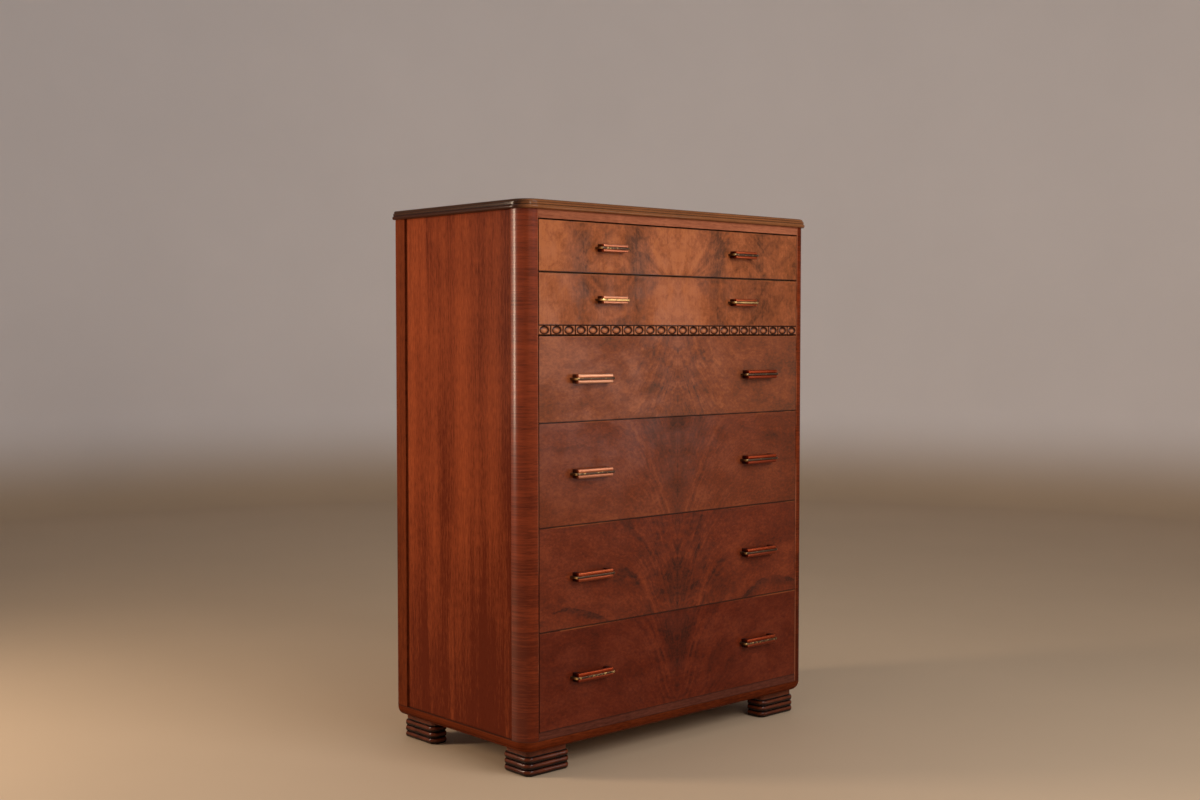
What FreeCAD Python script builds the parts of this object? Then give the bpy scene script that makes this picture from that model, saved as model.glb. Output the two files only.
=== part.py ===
import FreeCAD, Part
import math
import os

# Tall six-drawer chest with rounded corner posts, a carved band and reeded feet.
# Millimetres.  While modelling, x = 0 is the middle of the chest, y = 0 the plane of the
# drawer fronts and z = 0 the floor.  On export everything moves back by FRONT_Y, so that
# the origin is the middle of the outer box at floor level.

V = FreeCAD.Vector

# Carcass
BODY_W = 864.0
BODY_D = 448.0
FOOT_H = 51.0
BASE_H = 25.0
BOTTOM_RAIL_H = 16.0
BAND_H = 19.5
TOP_RAIL_H = 18.0
TOP_T = 19.5

# Height that each drawer takes up, from the top one down
DRAWER_1_H = 107.0
DRAWER_2_H = 108.0
DRAWER_3_H = 178.5
DRAWER_4_H = 213.0
DRAWER_5_H = 213.0
DRAWER_6_H = 204.0

# Front posts: a quarter round with a flat strip on each side of it
POST_ROUND = 34.0
POST_FRONT_FLAT = 2.0
POST_SIDE_FLAT = 10.0
REAR_POST_D = 34.0

# Side panels and back
PANEL_T = 7.0
PANEL_RECESS = 5.0
PANEL_TONGUE = 8.0
BACK_T = 5.0
BACK_RABBET = 12.0

# Rails, runners and their joints
RAIL_D = 40.0
DIVIDER_H = 18.0
TENON = 10.0
TENON_SETBACK = 9.0
RUNNER_T = 16.0
RUNNER_LEDGE = 24.0
GUIDE_H = 14.0
REAR_RAIL_T = 22.0
REAR_RAIL_H = 50.0

# Moulded edge of the top: three steps, the lowest one widest
TOP_OVERHANG = 8.0
TOP_NOSE_H = 8.0
TOP_STEP = 2.6
TOP_BEAD_H = 4.5
TOP_EDGE_BAND = 30.0

# Base moulding and feet
BASE_ROUND = 22.0
BASE_FRONT_D = 80.0
BASE_SIDE_W = 64.0
FOOT_INSET_FRONT = 15.0
FOOT_INSET_SIDE = 19.0
FOOT_INSET_REAR = 2.0
FRONT_FOOT_W = 117.0
FRONT_FOOT_D = 87.0
REAR_FOOT_D = 103.0
FOOT_WING = 45.0
FOOT_NECK_H = 11.4
FOOT_CORNER = 16.0
FOOT_EDGE_BAND = 10.0
REEDS = 3
REED_DEPTH = 4.5
REED_FLATS = 4

# Carved band
BOSSES = 24
CARVE_DEPTH = 3.0
BOSS_MARGIN_X = 3.0
BOSS_MARGIN_Z = 1.6
BOSS_TIP = 5.0

# Drawers
FRONT_T = 20.0
TOP_GAP = 3.0
UPPER_GAP = 2.2
LOWER_GAP = 0.7
GAP_BELOW = 0.6
SIDE_GAP = 1.6
RUN_CLEAR = 0.3
STOP_CLEAR = 0.4
BOX_TOP_CLEAR = 4.0
REAR_CLEAR = 4.0
SIDE_T = 13.0
DRAWER_BACK_T = 13.0
BACK_DROP = 5.0
BOTTOM_T = 5.0
BOTTOM_LIFT = 9.0
BOTTOM_GROOVE = 6.0

# Half-blind dovetails between drawer front and sides
TAIL_LENGTH = 13.0
TAIL_PITCH = 30.0
TAIL_SHARE = 0.56
TAIL_FLARE = 1.8

# Pulls: a bar on two end blocks, with a strap round its middle that stands out most at the ends
PULL_OUT = 21.0
PULL_GRIP = 8.5
PULL_END = 11.0
PULL_SOFTEN = 3.0
STRAP_H = 6.4
STRAP_RAISE = 1.8
STRAP_CORNER = 7.0
SMALL_PULL_L = 71.0
SMALL_PULL_H = 16.0
SMALL_PULL_X = 201.0
SMALL_STRAP_END = 6.0
LARGE_PULL_L = 95.0
LARGE_PULL_H = 19.0
LARGE_PULL_X = 257.0
LARGE_STRAP_END = 7.5

# Levels above the floor, worked out from the heights
BASE_Z = FOOT_H
CASE_Z = BASE_Z + BASE_H
DRAWERS_Z = CASE_Z + BOTTOM_RAIL_H
DRAWER_6_Z = DRAWERS_Z
DRAWER_5_Z = DRAWER_6_Z + DRAWER_6_H
DRAWER_4_Z = DRAWER_5_Z + DRAWER_5_H
DRAWER_3_Z = DRAWER_4_Z + DRAWER_4_H
BAND_Z = DRAWER_3_Z + DRAWER_3_H
DRAWER_2_Z = BAND_Z + BAND_H
DRAWER_1_Z = DRAWER_2_Z + DRAWER_2_H
TOP_RAIL_Z = DRAWER_1_Z + DRAWER_1_H
TOP_Z = TOP_RAIL_Z + TOP_RAIL_H

# Places worked out from the sizes
HALF_W = BODY_W / 2
POST_W = POST_ROUND + POST_FRONT_FLAT
POST_D = POST_ROUND + POST_SIDE_FLAT
OPENING_HALF = HALF_W - POST_W
REAR_POST_Y = BODY_D - REAR_POST_D
DIVIDER_Y = FRONT_T + STOP_CLEAR
RAIL_END_Y = DIVIDER_Y + RAIL_D
PANEL_IN = PANEL_RECESS + PANEL_T
BACK_Y = BODY_D - BACK_T
REAR_RAIL_Y = BACK_Y - REAR_RAIL_T
BOX_END_Y = REAR_RAIL_Y - REAR_CLEAR
BOX_HALF = OPENING_HALF - SIDE_GAP
BOX_INNER_HALF = BOX_HALF - SIDE_T
FRONT_Y = (PULL_OUT - BODY_D) / 2

# Each kind of pull: length and height of the bar, what the strap adds at each end, place
SMALL_PULL = (SMALL_PULL_L, SMALL_PULL_H, SMALL_STRAP_END, SMALL_PULL_X)
LARGE_PULL = (LARGE_PULL_L, LARGE_PULL_H, LARGE_STRAP_END, LARGE_PULL_X)

# Each drawer: name, lower level, height, a hidden divider below, one above, gap over the front, pulls
DRAWERS = (
    ("drawer_1", DRAWER_1_Z, DRAWER_1_H, True, False, TOP_GAP, SMALL_PULL),
    ("drawer_2", DRAWER_2_Z, DRAWER_2_H, False, True, UPPER_GAP, SMALL_PULL),
    ("drawer_3", DRAWER_3_Z, DRAWER_3_H, True, False, UPPER_GAP, LARGE_PULL),
    ("drawer_4", DRAWER_4_Z, DRAWER_4_H, True, True, LOWER_GAP, LARGE_PULL),
    ("drawer_5", DRAWER_5_Z, DRAWER_5_H, True, True, LOWER_GAP, LARGE_PULL),
    ("drawer_6", DRAWER_6_Z, DRAWER_6_H, False, True, LOWER_GAP, LARGE_PULL),
)


def box(x0, x1, y0, y1, z0, z1):
    """Block between two corners."""
    return Part.makeBox(x1 - x0, y1 - y0, z1 - z0, V(x0, y0, z0))


def outline(x0, x1, y0, y1, z, front_radius, rear_radius=0.0):
    """Face of a rectangle at height z with rounded front corners and, if asked, rear ones."""
    corners = (
        (x0, y0, 1, 1, front_radius, 180),
        (x1, y0, -1, 1, front_radius, 270),
        (x1, y1, -1, -1, rear_radius, 0),
        (x0, y1, 1, -1, rear_radius, 90),
    )
    ends = []
    arcs = []
    for x, y, inward_x, inward_y, radius, start in corners:
        centre = V(x + inward_x * radius, y + inward_y * radius, z)
        points = [arc_point(centre, radius, start + turn) for turn in (0, 45, 90)]
        ends.append((points[0], points[2]))
        arcs.append(Part.Arc(*points).toShape() if radius > 0 else None)
    edges = []
    for i in range(len(corners)):
        if arcs[i]:
            edges.append(arcs[i])
        following = ends[(i + 1) % len(corners)][0]
        edges.append(Part.makeLine(ends[i][1], following))
    return Part.Face(Part.Wire(edges))


def arc_point(centre, radius, degrees):
    """Point of a level circle."""
    angle = math.radians(degrees)
    return centre + V(radius * math.cos(angle), radius * math.sin(angle), 0)


def mirrored(shape):
    """The same piece on the other side of the chest."""
    return shape.mirror(V(0, 0, 0), V(1, 0, 0))


def level_edges(shape, z):
    """Edges of a shape that lie flat at height z."""
    near = 1e-6
    return [e for e in shape.Edges if abs(e.BoundBox.ZMin - z) < near and abs(e.BoundBox.ZMax - z) < near]


def prism(points, direction):
    """Straight-sided prism on a closed polygon."""
    return Part.Face(Part.makePolygon(points + points[:1])).extrude(direction)


def top_board():
    """Top whose edge profile of nose, bead and rounded lip runs along the sides and round the corners."""
    step_in = TOP_OVERHANG - TOP_STEP
    lip_in = step_in - TOP_STEP
    lip_h = TOP_T - TOP_NOSE_H - TOP_BEAD_H
    corner = POST_ROUND
    nose_z = TOP_Z + TOP_NOSE_H
    bead_z = nose_z + TOP_BEAD_H
    top_z = TOP_Z + TOP_T
    inner = -TOP_EDGE_BAND + TOP_OVERHANG

    def at(out, z):
        return V(-HALF_W - out, BODY_D, z)

    nose_tip = at(TOP_OVERHANG, TOP_Z + TOP_NOSE_H / 2)
    lip_end = lip_in - lip_h
    lip_drop = lip_h * (1 - math.sqrt(0.5))
    profile = Part.Wire([
        Part.makeLine(at(inner, TOP_Z), at(step_in, TOP_Z)),
        Part.Arc(at(step_in, TOP_Z), nose_tip, at(step_in, nose_z)).toShape(),
        Part.makeLine(at(step_in, nose_z), at(step_in, bead_z)),
        Part.makeLine(at(step_in, bead_z), at(lip_in, bead_z)),
        Part.Arc(at(lip_in, bead_z), at(lip_in - lip_drop, top_z - lip_drop), at(lip_end, top_z)).toShape(),
        Part.makeLine(at(lip_end, top_z), at(inner, top_z)),
        Part.makeLine(at(inner, top_z), at(inner, TOP_Z)),
    ])
    left = V(-HALF_W + corner, corner, TOP_Z)
    right = V(HALF_W - corner, corner, TOP_Z)
    path = Part.Wire([
        Part.makeLine(V(-HALF_W, BODY_D, TOP_Z), V(-HALF_W, corner, TOP_Z)),
        Part.Arc(*[arc_point(left, corner, a) for a in (180, 225, 270)]).toShape(),
        Part.makeLine(V(-HALF_W + corner, 0, TOP_Z), V(HALF_W - corner, 0, TOP_Z)),
        Part.Arc(*[arc_point(right, corner, a) for a in (270, 315, 360)]).toShape(),
        Part.makeLine(V(HALF_W, corner, TOP_Z), V(HALF_W, BODY_D, TOP_Z)),
    ])
    edge = path.makePipeShell([profile], True, False)
    core = outline(-HALF_W - inner, HALF_W + inner, -inner, BODY_D, TOP_Z, corner + inner)
    return edge.fuse(core.extrude(V(0, 0, TOP_T))).removeSplitter()


def front_rail(z, height, y):
    """Rail between the front posts, from y to the common rear line, with a tenon at each end."""
    rail = box(-OPENING_HALF, OPENING_HALF, y, RAIL_END_Y, z, z + height)
    tenon_y = max(y, TENON_SETBACK)
    tenon_half = OPENING_HALF + TENON
    tenons = box(-tenon_half, tenon_half, tenon_y, POST_D - TENON_SETBACK, z, z + height)
    return rail.fuse(tenons).removeSplitter()


def carved_rail():
    """Rail whose sunk face carries a row of four-sided bosses, level with the drawer fronts."""
    rail = front_rail(BAND_Z, BAND_H, CARVE_DEPTH)
    pitch = 2 * OPENING_HALF / BOSSES
    tip_margin_x = (pitch - BOSS_TIP) / 2
    tip_margin_z = (BAND_H - BOSS_TIP) / 2
    bosses = []
    for i in range(BOSSES):
        x = -OPENING_HALF + i * pitch
        wedge = Part.makeWedge(
            x + tip_margin_x, 0, BAND_Z + tip_margin_z, BAND_Z + BOSS_MARGIN_Z, x + BOSS_MARGIN_X,
            x + pitch - tip_margin_x, CARVE_DEPTH, BAND_Z + BAND_H - tip_margin_z,
            BAND_Z + BAND_H - BOSS_MARGIN_Z, x + pitch - BOSS_MARGIN_X)
        bosses.append(wedge)
    return rail.multiFuse(bosses).removeSplitter()


def left_panel():
    """Side panel with a tongue into each post."""
    x = -HALF_W + PANEL_RECESS
    return box(x, x + PANEL_T, POST_D - PANEL_TONGUE, REAR_POST_Y + PANEL_TONGUE, CASE_Z, TOP_Z)


def back_panel():
    """Thin back let into the rear posts."""
    half = OPENING_HALF + BACK_RABBET
    return box(-half, half, BACK_Y, BODY_D, BASE_Z, TOP_Z)


def left_front_post(fitted):
    """Quarter-round corner post, grooved and mortised for the pieces that fit into it."""
    x = -HALF_W
    centre = V(x + POST_ROUND, POST_ROUND, CASE_Z)
    arc = Part.Arc(*[arc_point(centre, POST_ROUND, a) for a in (180, 225, 270)]).toShape()
    straight = Part.makePolygon([
        V(x + POST_ROUND, 0, CASE_Z), V(x + POST_W, 0, CASE_Z), V(x + POST_W, POST_D, CASE_Z),
        V(x, POST_D, CASE_Z), V(x, POST_ROUND, CASE_Z)])
    section = Part.Face(Part.Wire([arc] + straight.Edges))
    return section.extrude(V(0, 0, TOP_Z - CASE_Z)).cut(fitted)


def left_rear_post(fitted):
    """Square rear post, grooved for the panel, the back and the rear rail."""
    return box(-HALF_W, -OPENING_HALF, REAR_POST_Y, BODY_D, CASE_Z, TOP_Z).cut(fitted)


def rear_rails():
    """Rails that the back is fixed to: one tenoned under the top, one between the base sides."""
    upper_half = OPENING_HALF + TENON
    lower_half = HALF_W - BASE_SIDE_W
    return [
        box(-upper_half, upper_half, REAR_RAIL_Y, BACK_Y, TOP_Z - REAR_RAIL_H, TOP_Z),
        box(-lower_half, lower_half, REAR_RAIL_Y, BACK_Y, BASE_Z, DRAWERS_Z),
    ]


def base_mouldings(back):
    """Base in three pieces, rounded along the lower outer edge: front with both corners, and two sides."""
    whole = outline(-HALF_W, HALF_W, 0, BODY_D, BASE_Z, POST_ROUND).extrude(V(0, 0, BASE_H))
    lower = [e for e in level_edges(whole, BASE_Z) if e.BoundBox.YMin < BODY_D - 1]
    whole = whole.makeFillet(BASE_ROUND, lower)
    front = whole.common(box(-HALF_W, HALF_W, 0, BASE_FRONT_D, BASE_Z, CASE_Z))
    left = whole.common(box(-HALF_W, -HALF_W + BASE_SIDE_W, BASE_FRONT_D, BODY_D, BASE_Z, CASE_Z)).cut(back)
    return front, left


def reed_points():
    """Inset and height up a foot's side: reeds, each half an ellipse in a few flats, then a plain neck."""
    reed_h = (FOOT_H - FOOT_NECK_H) / REEDS
    points = [(REED_DEPTH, 0.0)]
    for i in range(REEDS):
        for k in range(1, REED_FLATS + 1):
            angle = math.pi * k / REED_FLATS
            points.append((REED_DEPTH * (1 - math.sin(angle)), reed_h * (i + (1 - math.cos(angle)) / 2)))
    return points + [(REED_DEPTH, FOOT_H)]


def foot(width, depth):
    """Reeded foot with its outer front corner at the origin: the reeds run round a plain block."""
    plan = outline(0, width, 0, depth, 0, FOOT_CORNER, FOOT_CORNER)
    section = reed_points() + [(FOOT_EDGE_BAND, FOOT_H), (FOOT_EDGE_BAND, 0.0), (REED_DEPTH, 0.0)]
    profile = Part.makePolygon([V(inset, FOOT_CORNER, z) for inset, z in section])
    rim = plan.OuterWire.makePipeShell([profile], True, False)
    core_corner = FOOT_CORNER - FOOT_EDGE_BAND
    core = outline(FOOT_EDGE_BAND, width - FOOT_EDGE_BAND, FOOT_EDGE_BAND, depth - FOOT_EDGE_BAND, 0,
                   core_corner, core_corner).extrude(V(0, 0, FOOT_H))
    return rim.fuse(core).removeSplitter()


def front_left_foot():
    """Foot under the front corner, with a wing along the front and one along the side."""
    notch = box(FOOT_WING, FRONT_FOOT_W, FOOT_WING, FRONT_FOOT_D, 0, FOOT_H)
    winged = foot(FRONT_FOOT_W, FRONT_FOOT_D).cut(notch)
    return winged.translated(V(-HALF_W + FOOT_INSET_SIDE, FOOT_INSET_FRONT, 0))


def rear_left_foot():
    """Straight foot under the side at the rear, sawn off flat behind."""
    kept = box(0, FOOT_WING, 0, REAR_FOOT_D, 0, FOOT_H)
    sawn = foot(FOOT_WING, REAR_FOOT_D + FOOT_CORNER).common(kept)
    return sawn.translated(V(-HALF_W + FOOT_INSET_SIDE, BODY_D - FOOT_INSET_REAR - REAR_FOOT_D, 0))


def run_level(z, divider_below):
    """Height that a drawer's sides run on: over the hidden divider, or on the rail that shows."""
    return z + DIVIDER_H / 2 if divider_below else z


def left_strip(inner, low_z, high_z):
    """Strip along the side panel, from the front rails to the rear post."""
    return box(-HALF_W + PANEL_IN, inner, RAIL_END_Y, REAR_POST_Y, low_z, high_z)


def left_runner(level):
    """Ledge under a drawer side."""
    return left_strip(-OPENING_HALF + RUNNER_LEDGE, level - RUNNER_T, level)


def left_guide(level):
    """Strip on the runner, in line with the posts, that keeps a drawer straight."""
    return left_strip(-OPENING_HALF, level, level + GUIDE_H)


def left_cleat():
    """Strip under the top that also holds drawer 1 down when it is open."""
    return left_strip(-OPENING_HALF + RUNNER_LEDGE, TOP_RAIL_Z, TOP_Z)


def drawer_side(bottom_z, top_z):
    """Left side of a drawer, with tails that widen towards the front."""
    x = -BOX_HALF
    height = top_z - bottom_z
    count = max(2, round(height / TAIL_PITCH))
    pitch = height / count
    narrow = pitch * TAIL_SHARE / 2
    wide = narrow + TAIL_FLARE
    tip_y = FRONT_T - TAIL_LENGTH
    board = box(x, x + SIDE_T, FRONT_T, BOX_END_Y, bottom_z, top_z)
    tails = []
    for i in range(count):
        z = bottom_z + (i + 0.5) * pitch
        tails.append(prism([
            V(x, FRONT_T, z - narrow), V(x, tip_y, z - wide),
            V(x, tip_y, z + wide), V(x, FRONT_T, z + narrow),
        ], V(SIDE_T, 0, 0)))
    return board.multiFuse(tails).removeSplitter()


def pull_bar(length, height):
    """Block of a pull, rounded along its upper and lower front edges."""
    out = PULL_OUT - STRAP_RAISE
    top = height / 2
    soft = PULL_SOFTEN
    turn = soft * (1 - math.sqrt(0.5))

    def at(y, z):
        return V(-length / 2, y, z)

    section = Part.Wire([
        Part.makeLine(at(0, -top), at(0, top)),
        Part.makeLine(at(0, top), at(soft - out, top)),
        Part.Arc(at(soft - out, top), at(turn - out, top - turn), at(-out, top - soft)).toShape(),
        Part.makeLine(at(-out, top - soft), at(-out, soft - top)),
        Part.Arc(at(-out, soft - top), at(turn - out, turn - top), at(soft - out, -top)).toShape(),
        Part.makeLine(at(soft - out, -top), at(0, -top)),
    ])
    return Part.Face(section).extrude(V(length, 0, 0))


def pull(length, height, strap_end, x, z):
    """Cast pull: soft-edged bow with a strap round its middle, and a finger gap behind the bar."""
    strap_half = length / 2 + strap_end
    inner_half = length / 2 - PULL_END
    strap_plan = outline(-strap_half, strap_half, -PULL_OUT, 0, -STRAP_H / 2, STRAP_CORNER)
    strap = strap_plan.extrude(V(0, 0, STRAP_H))
    gap = box(-inner_half, inner_half, PULL_GRIP - PULL_OUT, 0, -height / 2, height / 2)
    return pull_bar(length, height).fuse(strap).cut(gap).removeSplitter().translated(V(x, 0, z))


def drawer(name, z, height, divider_below, divider_above, gap_above, pull_kind):
    """All pieces of one drawer by node name."""
    box_z = run_level(z, divider_below) + RUN_CLEAR
    ceiling = z + height - (DIVIDER_H / 2 if divider_above else 0)
    box_top = ceiling - BOX_TOP_CLEAR
    bottom_z = box_z + BOTTOM_LIFT
    bottom_half = BOX_INNER_HALF + BOTTOM_GROOVE
    bottom = box(-bottom_half, bottom_half, FRONT_T - BOTTOM_GROOVE, BOX_END_Y,
                 bottom_z, bottom_z + BOTTOM_T)
    side = drawer_side(box_z, box_top)
    front = box(-BOX_HALF, BOX_HALF, 0, FRONT_T, z + GAP_BELOW, z + height - gap_above)
    left = side.cut(bottom)
    back = box(-BOX_INNER_HALF, BOX_INNER_HALF, BOX_END_Y - DRAWER_BACK_T, BOX_END_Y,
               bottom_z + BOTTOM_T, box_top - BACK_DROP)
    middle = z + (height + GAP_BELOW - gap_above) / 2
    length, pull_h, strap_end, pull_x = pull_kind
    one = pull(length, pull_h, strap_end, -pull_x, middle)
    return {
        name + "_front": front.cut([side, mirrored(side), bottom]),
        name + "_left_side": left,
        name + "_right_side": mirrored(left),
        name + "_back": back,
        name + "_bottom": bottom,
        name + "_pulls": Part.makeCompound([one, mirrored(one)]),
    }


def carcass():
    """All pieces that stand still, by node name."""
    top_rail = front_rail(TOP_RAIL_Z, TOP_RAIL_H, 0)
    bottom_rail = front_rail(CASE_Z, BOTTOM_RAIL_H, 0)
    band = carved_rail()
    divider_lines = [z for _, z, _, divider_below, *_ in DRAWERS if divider_below]
    dividers = [front_rail(z - DIVIDER_H / 2, DIVIDER_H, DIVIDER_Y) for z in divider_lines]
    panel = left_panel()
    back = back_panel()
    rear = rear_rails()
    front_post = left_front_post([panel, top_rail, bottom_rail, band] + dividers)
    rear_post = left_rear_post([panel, back] + rear)
    base_front, base_left = base_mouldings(back)
    front_foot = front_left_foot()
    rear_foot = rear_left_foot()
    levels = [run_level(z, divider_below) for _, z, _, divider_below, *_ in DRAWERS]
    runners = [left_runner(level) for level in levels]
    guides = [left_guide(level) for level in levels]
    cleat = left_cleat()
    return {
        "top_board": top_board(),
        "top_front_rail": top_rail,
        "carved_rail": band,
        "bottom_front_rail": bottom_rail,
        "left_front_post": front_post,
        "right_front_post": mirrored(front_post),
        "left_rear_post": rear_post,
        "right_rear_post": mirrored(rear_post),
        "left_side_panel": panel,
        "right_side_panel": mirrored(panel),
        "back_panel": back,
        "base_front_moulding": base_front,
        "base_left_moulding": base_left,
        "base_right_moulding": mirrored(base_left),
        "front_feet": Part.makeCompound([front_foot, mirrored(front_foot)]),
        "rear_feet": Part.makeCompound([rear_foot, mirrored(rear_foot)]),
        "divider_rails": Part.makeCompound(dividers),
        "left_runners": Part.makeCompound(runners),
        "right_runners": Part.makeCompound([mirrored(r) for r in runners]),
        "left_guides": Part.makeCompound(guides),
        "right_guides": Part.makeCompound([mirrored(g) for g in guides]),
        "rear_rails": Part.makeCompound(rear),
        "top_cleats": Part.makeCompound([cleat, mirrored(cleat)]),
    }


def main():
    os.makedirs("parts", exist_ok=True)
    nodes = carcass()
    for row in DRAWERS:
        nodes.update(drawer(*row))
    for name, shape in nodes.items():
        shape.translated(V(0, FRONT_Y, 0)).exportStep("parts/" + name + ".step")


main()
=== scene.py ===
"""Looks of a tall six-drawer chest: veneers, moulded top, carved band, reeded feet and bar pulls."""

import math

import bmesh
import bpy
import numpy as np
from bpy.props import FloatProperty, FloatVectorProperty, IntProperty, PointerProperty
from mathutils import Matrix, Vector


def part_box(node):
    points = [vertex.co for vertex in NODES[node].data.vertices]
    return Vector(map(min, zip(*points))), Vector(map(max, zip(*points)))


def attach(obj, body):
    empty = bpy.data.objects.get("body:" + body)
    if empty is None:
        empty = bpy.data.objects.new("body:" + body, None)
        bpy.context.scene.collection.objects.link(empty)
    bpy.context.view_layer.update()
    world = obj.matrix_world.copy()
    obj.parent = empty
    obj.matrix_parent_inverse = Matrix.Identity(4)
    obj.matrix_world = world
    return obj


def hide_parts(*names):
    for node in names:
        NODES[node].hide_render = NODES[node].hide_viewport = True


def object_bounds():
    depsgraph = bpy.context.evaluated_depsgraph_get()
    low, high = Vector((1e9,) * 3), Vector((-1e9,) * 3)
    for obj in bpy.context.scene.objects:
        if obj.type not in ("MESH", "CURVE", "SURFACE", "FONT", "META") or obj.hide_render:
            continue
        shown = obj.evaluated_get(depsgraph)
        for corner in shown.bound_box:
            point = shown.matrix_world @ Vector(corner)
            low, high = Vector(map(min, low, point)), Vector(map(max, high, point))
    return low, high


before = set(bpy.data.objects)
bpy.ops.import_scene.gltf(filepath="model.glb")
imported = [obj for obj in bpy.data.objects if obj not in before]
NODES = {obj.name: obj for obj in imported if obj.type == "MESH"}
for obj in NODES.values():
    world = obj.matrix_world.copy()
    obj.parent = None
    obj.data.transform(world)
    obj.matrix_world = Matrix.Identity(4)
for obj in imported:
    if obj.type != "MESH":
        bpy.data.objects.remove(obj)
CAD_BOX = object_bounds()

bl_info = {
    "name": "Tall Chest Looks",
    "version": (1, 0, 0),
    "blender": (4, 5, 0),
    "location": "View3D > Sidebar > Chest",
    "description": "Dresses the solids of a tall chest of drawers with veneers, carving and pulls",
    "category": "Object",
}

# Places that the looks share, read from the solids, in metres.
FRONT_LOW, FRONT_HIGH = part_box("drawer_1_front")
FRONT_Y = FRONT_LOW.y
FRONT_BACK_Y = FRONT_HIGH.y
CASE_LOW, CASE_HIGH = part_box("left_front_post")
REAR_Y = CAD_BOX[1].y
HALF_W = -CASE_LOW.x
OPENING_HALF = -CASE_HIGH.x

# Drawers are numbered from the top: the first two are shallow, the others deep.
DRAWERS = range(1, 7)
FIRST_DEEP = 3

# How light and warm each front is beside the others, in red, green and blue: partly each front's own
# tone, partly painted light, with painted shade on the lower fronts and a painted sheen on drawer 3.
FRONT_TONES_AND_PAINTED_LIGHT = {1: (1.0, 1.0, 1.0), 2: (0.97, 0.95, 0.97), 3: (1.27, 1.76, 1.74), 4: (0.95, 1.10, 1.05),
                5: (0.84, 0.80, 0.78), 6: (0.65, 0.52, 0.50)}

# Figure of each deep front: which way its plume opens, where the bright rays lie across the plume, how
# strong smoke, rays, burr and hill line are, and that line itself: distance of its top from the middle,
# height of its top, half its width and how far it falls.
PLUMES = {3: (-1, (0.21,), (0.25, 0.3, 1.3, 0.15), (0.30, 0.838, 0.18, -0.02)),
          4: (1, (0.167,), (0.8, 0.9, 0.6, 0.7), (0.335, 0.673, 0.159, -0.036)),
          5: (1, (0.252, 0.149), (0.7, 0.8, 1.3, 1.7), (0.315, 0.338, 0.112, 0.039)),
          6: (1, (0.095,), (1.0, 0.9, 0.9, 0.15), (0.30, 0.150, 0.20, 0.05))}

# Lines beside each bright ray: how far from it across the plume, and how strong.
RAY_LINES = ((0.0, 1.0), (0.034, 0.5))

# How fast the figure of a mirrored veneer changes across the chest, so that its halves differ a little.
MIRROR_DRIFT = 1.1

# How bright the copper of each drawer's left and right pull is, partly patina and partly painted
# reflection, and how far the straps are worn to brass.
PULL_TONES_AND_PAINTED_REFLECTION = {1: (0.62, 0.36), 2: (0.80, 0.33), 3: (1.0, 0.02), 4: (0.72, 0.06), 5: (0.38, 0.15),
              6: (0.08, 0.15)}
STRAP_WEAR = {1: 0.02, 2: 0.24, 3: -0.04, 4: -0.04, 5: -0.04, 6: 0.06}

# Points on each rounded front corner of the case, and how its meshes are welded and shaded.
CORNER_POINTS = 17
WELD_DISTANCE = 1e-6
SHARP_ANGLE = math.radians(35.0)

WHITE = (1.0, 1.0, 1.0)

# Width of the camera's sensor in millimetres.
SENSOR_WIDTH = 36.0


def drawer_box(number):
    """Lowest and highest corner of a drawer's front."""
    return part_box(f"drawer_{number}_front")


def drawer_middle(number):
    """Height of the middle of a drawer's front."""
    low, high = drawer_box(number)
    return (low.z + high.z) / 2


# Node expressions


def math_method(operation, swapped=False):
    """Method that adds a Math node; swapped gives an operator's reflected form."""
    def method(value, *terms):
        ordered = (*terms, value) if swapped else (value, *terms)
        return value.finish.node("ShaderNodeMath", {"operation": operation}, dict(enumerate(ordered)))
    return method


class Value:
    """A socket of a finish; arithmetic on it adds Math nodes."""

    def __init__(self, finish, socket):
        self.finish = finish
        self.socket = socket

    __add__ = math_method("ADD")
    __radd__ = math_method("ADD", swapped=True)
    __sub__ = math_method("SUBTRACT")
    __rsub__ = math_method("SUBTRACT", swapped=True)
    __mul__ = math_method("MULTIPLY")
    __rmul__ = math_method("MULTIPLY", swapped=True)
    __truediv__ = math_method("DIVIDE")
    __rtruediv__ = math_method("DIVIDE", swapped=True)
    __pow__ = math_method("POWER")
    __rpow__ = math_method("POWER", swapped=True)
    __abs__ = math_method("ABSOLUTE")
    tanh = math_method("TANH")
    least = math_method("MINIMUM")
    most = math_method("MAXIMUM")

    def swing(self, weight):
        """Distance from one half, times a weight: a noise that lightens as much as it darkens."""
        return (self - 0.5) * weight

    def other(self, output):
        """Another output of the same node."""
        return Value(self.finish, self.socket.node.outputs[output])


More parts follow.
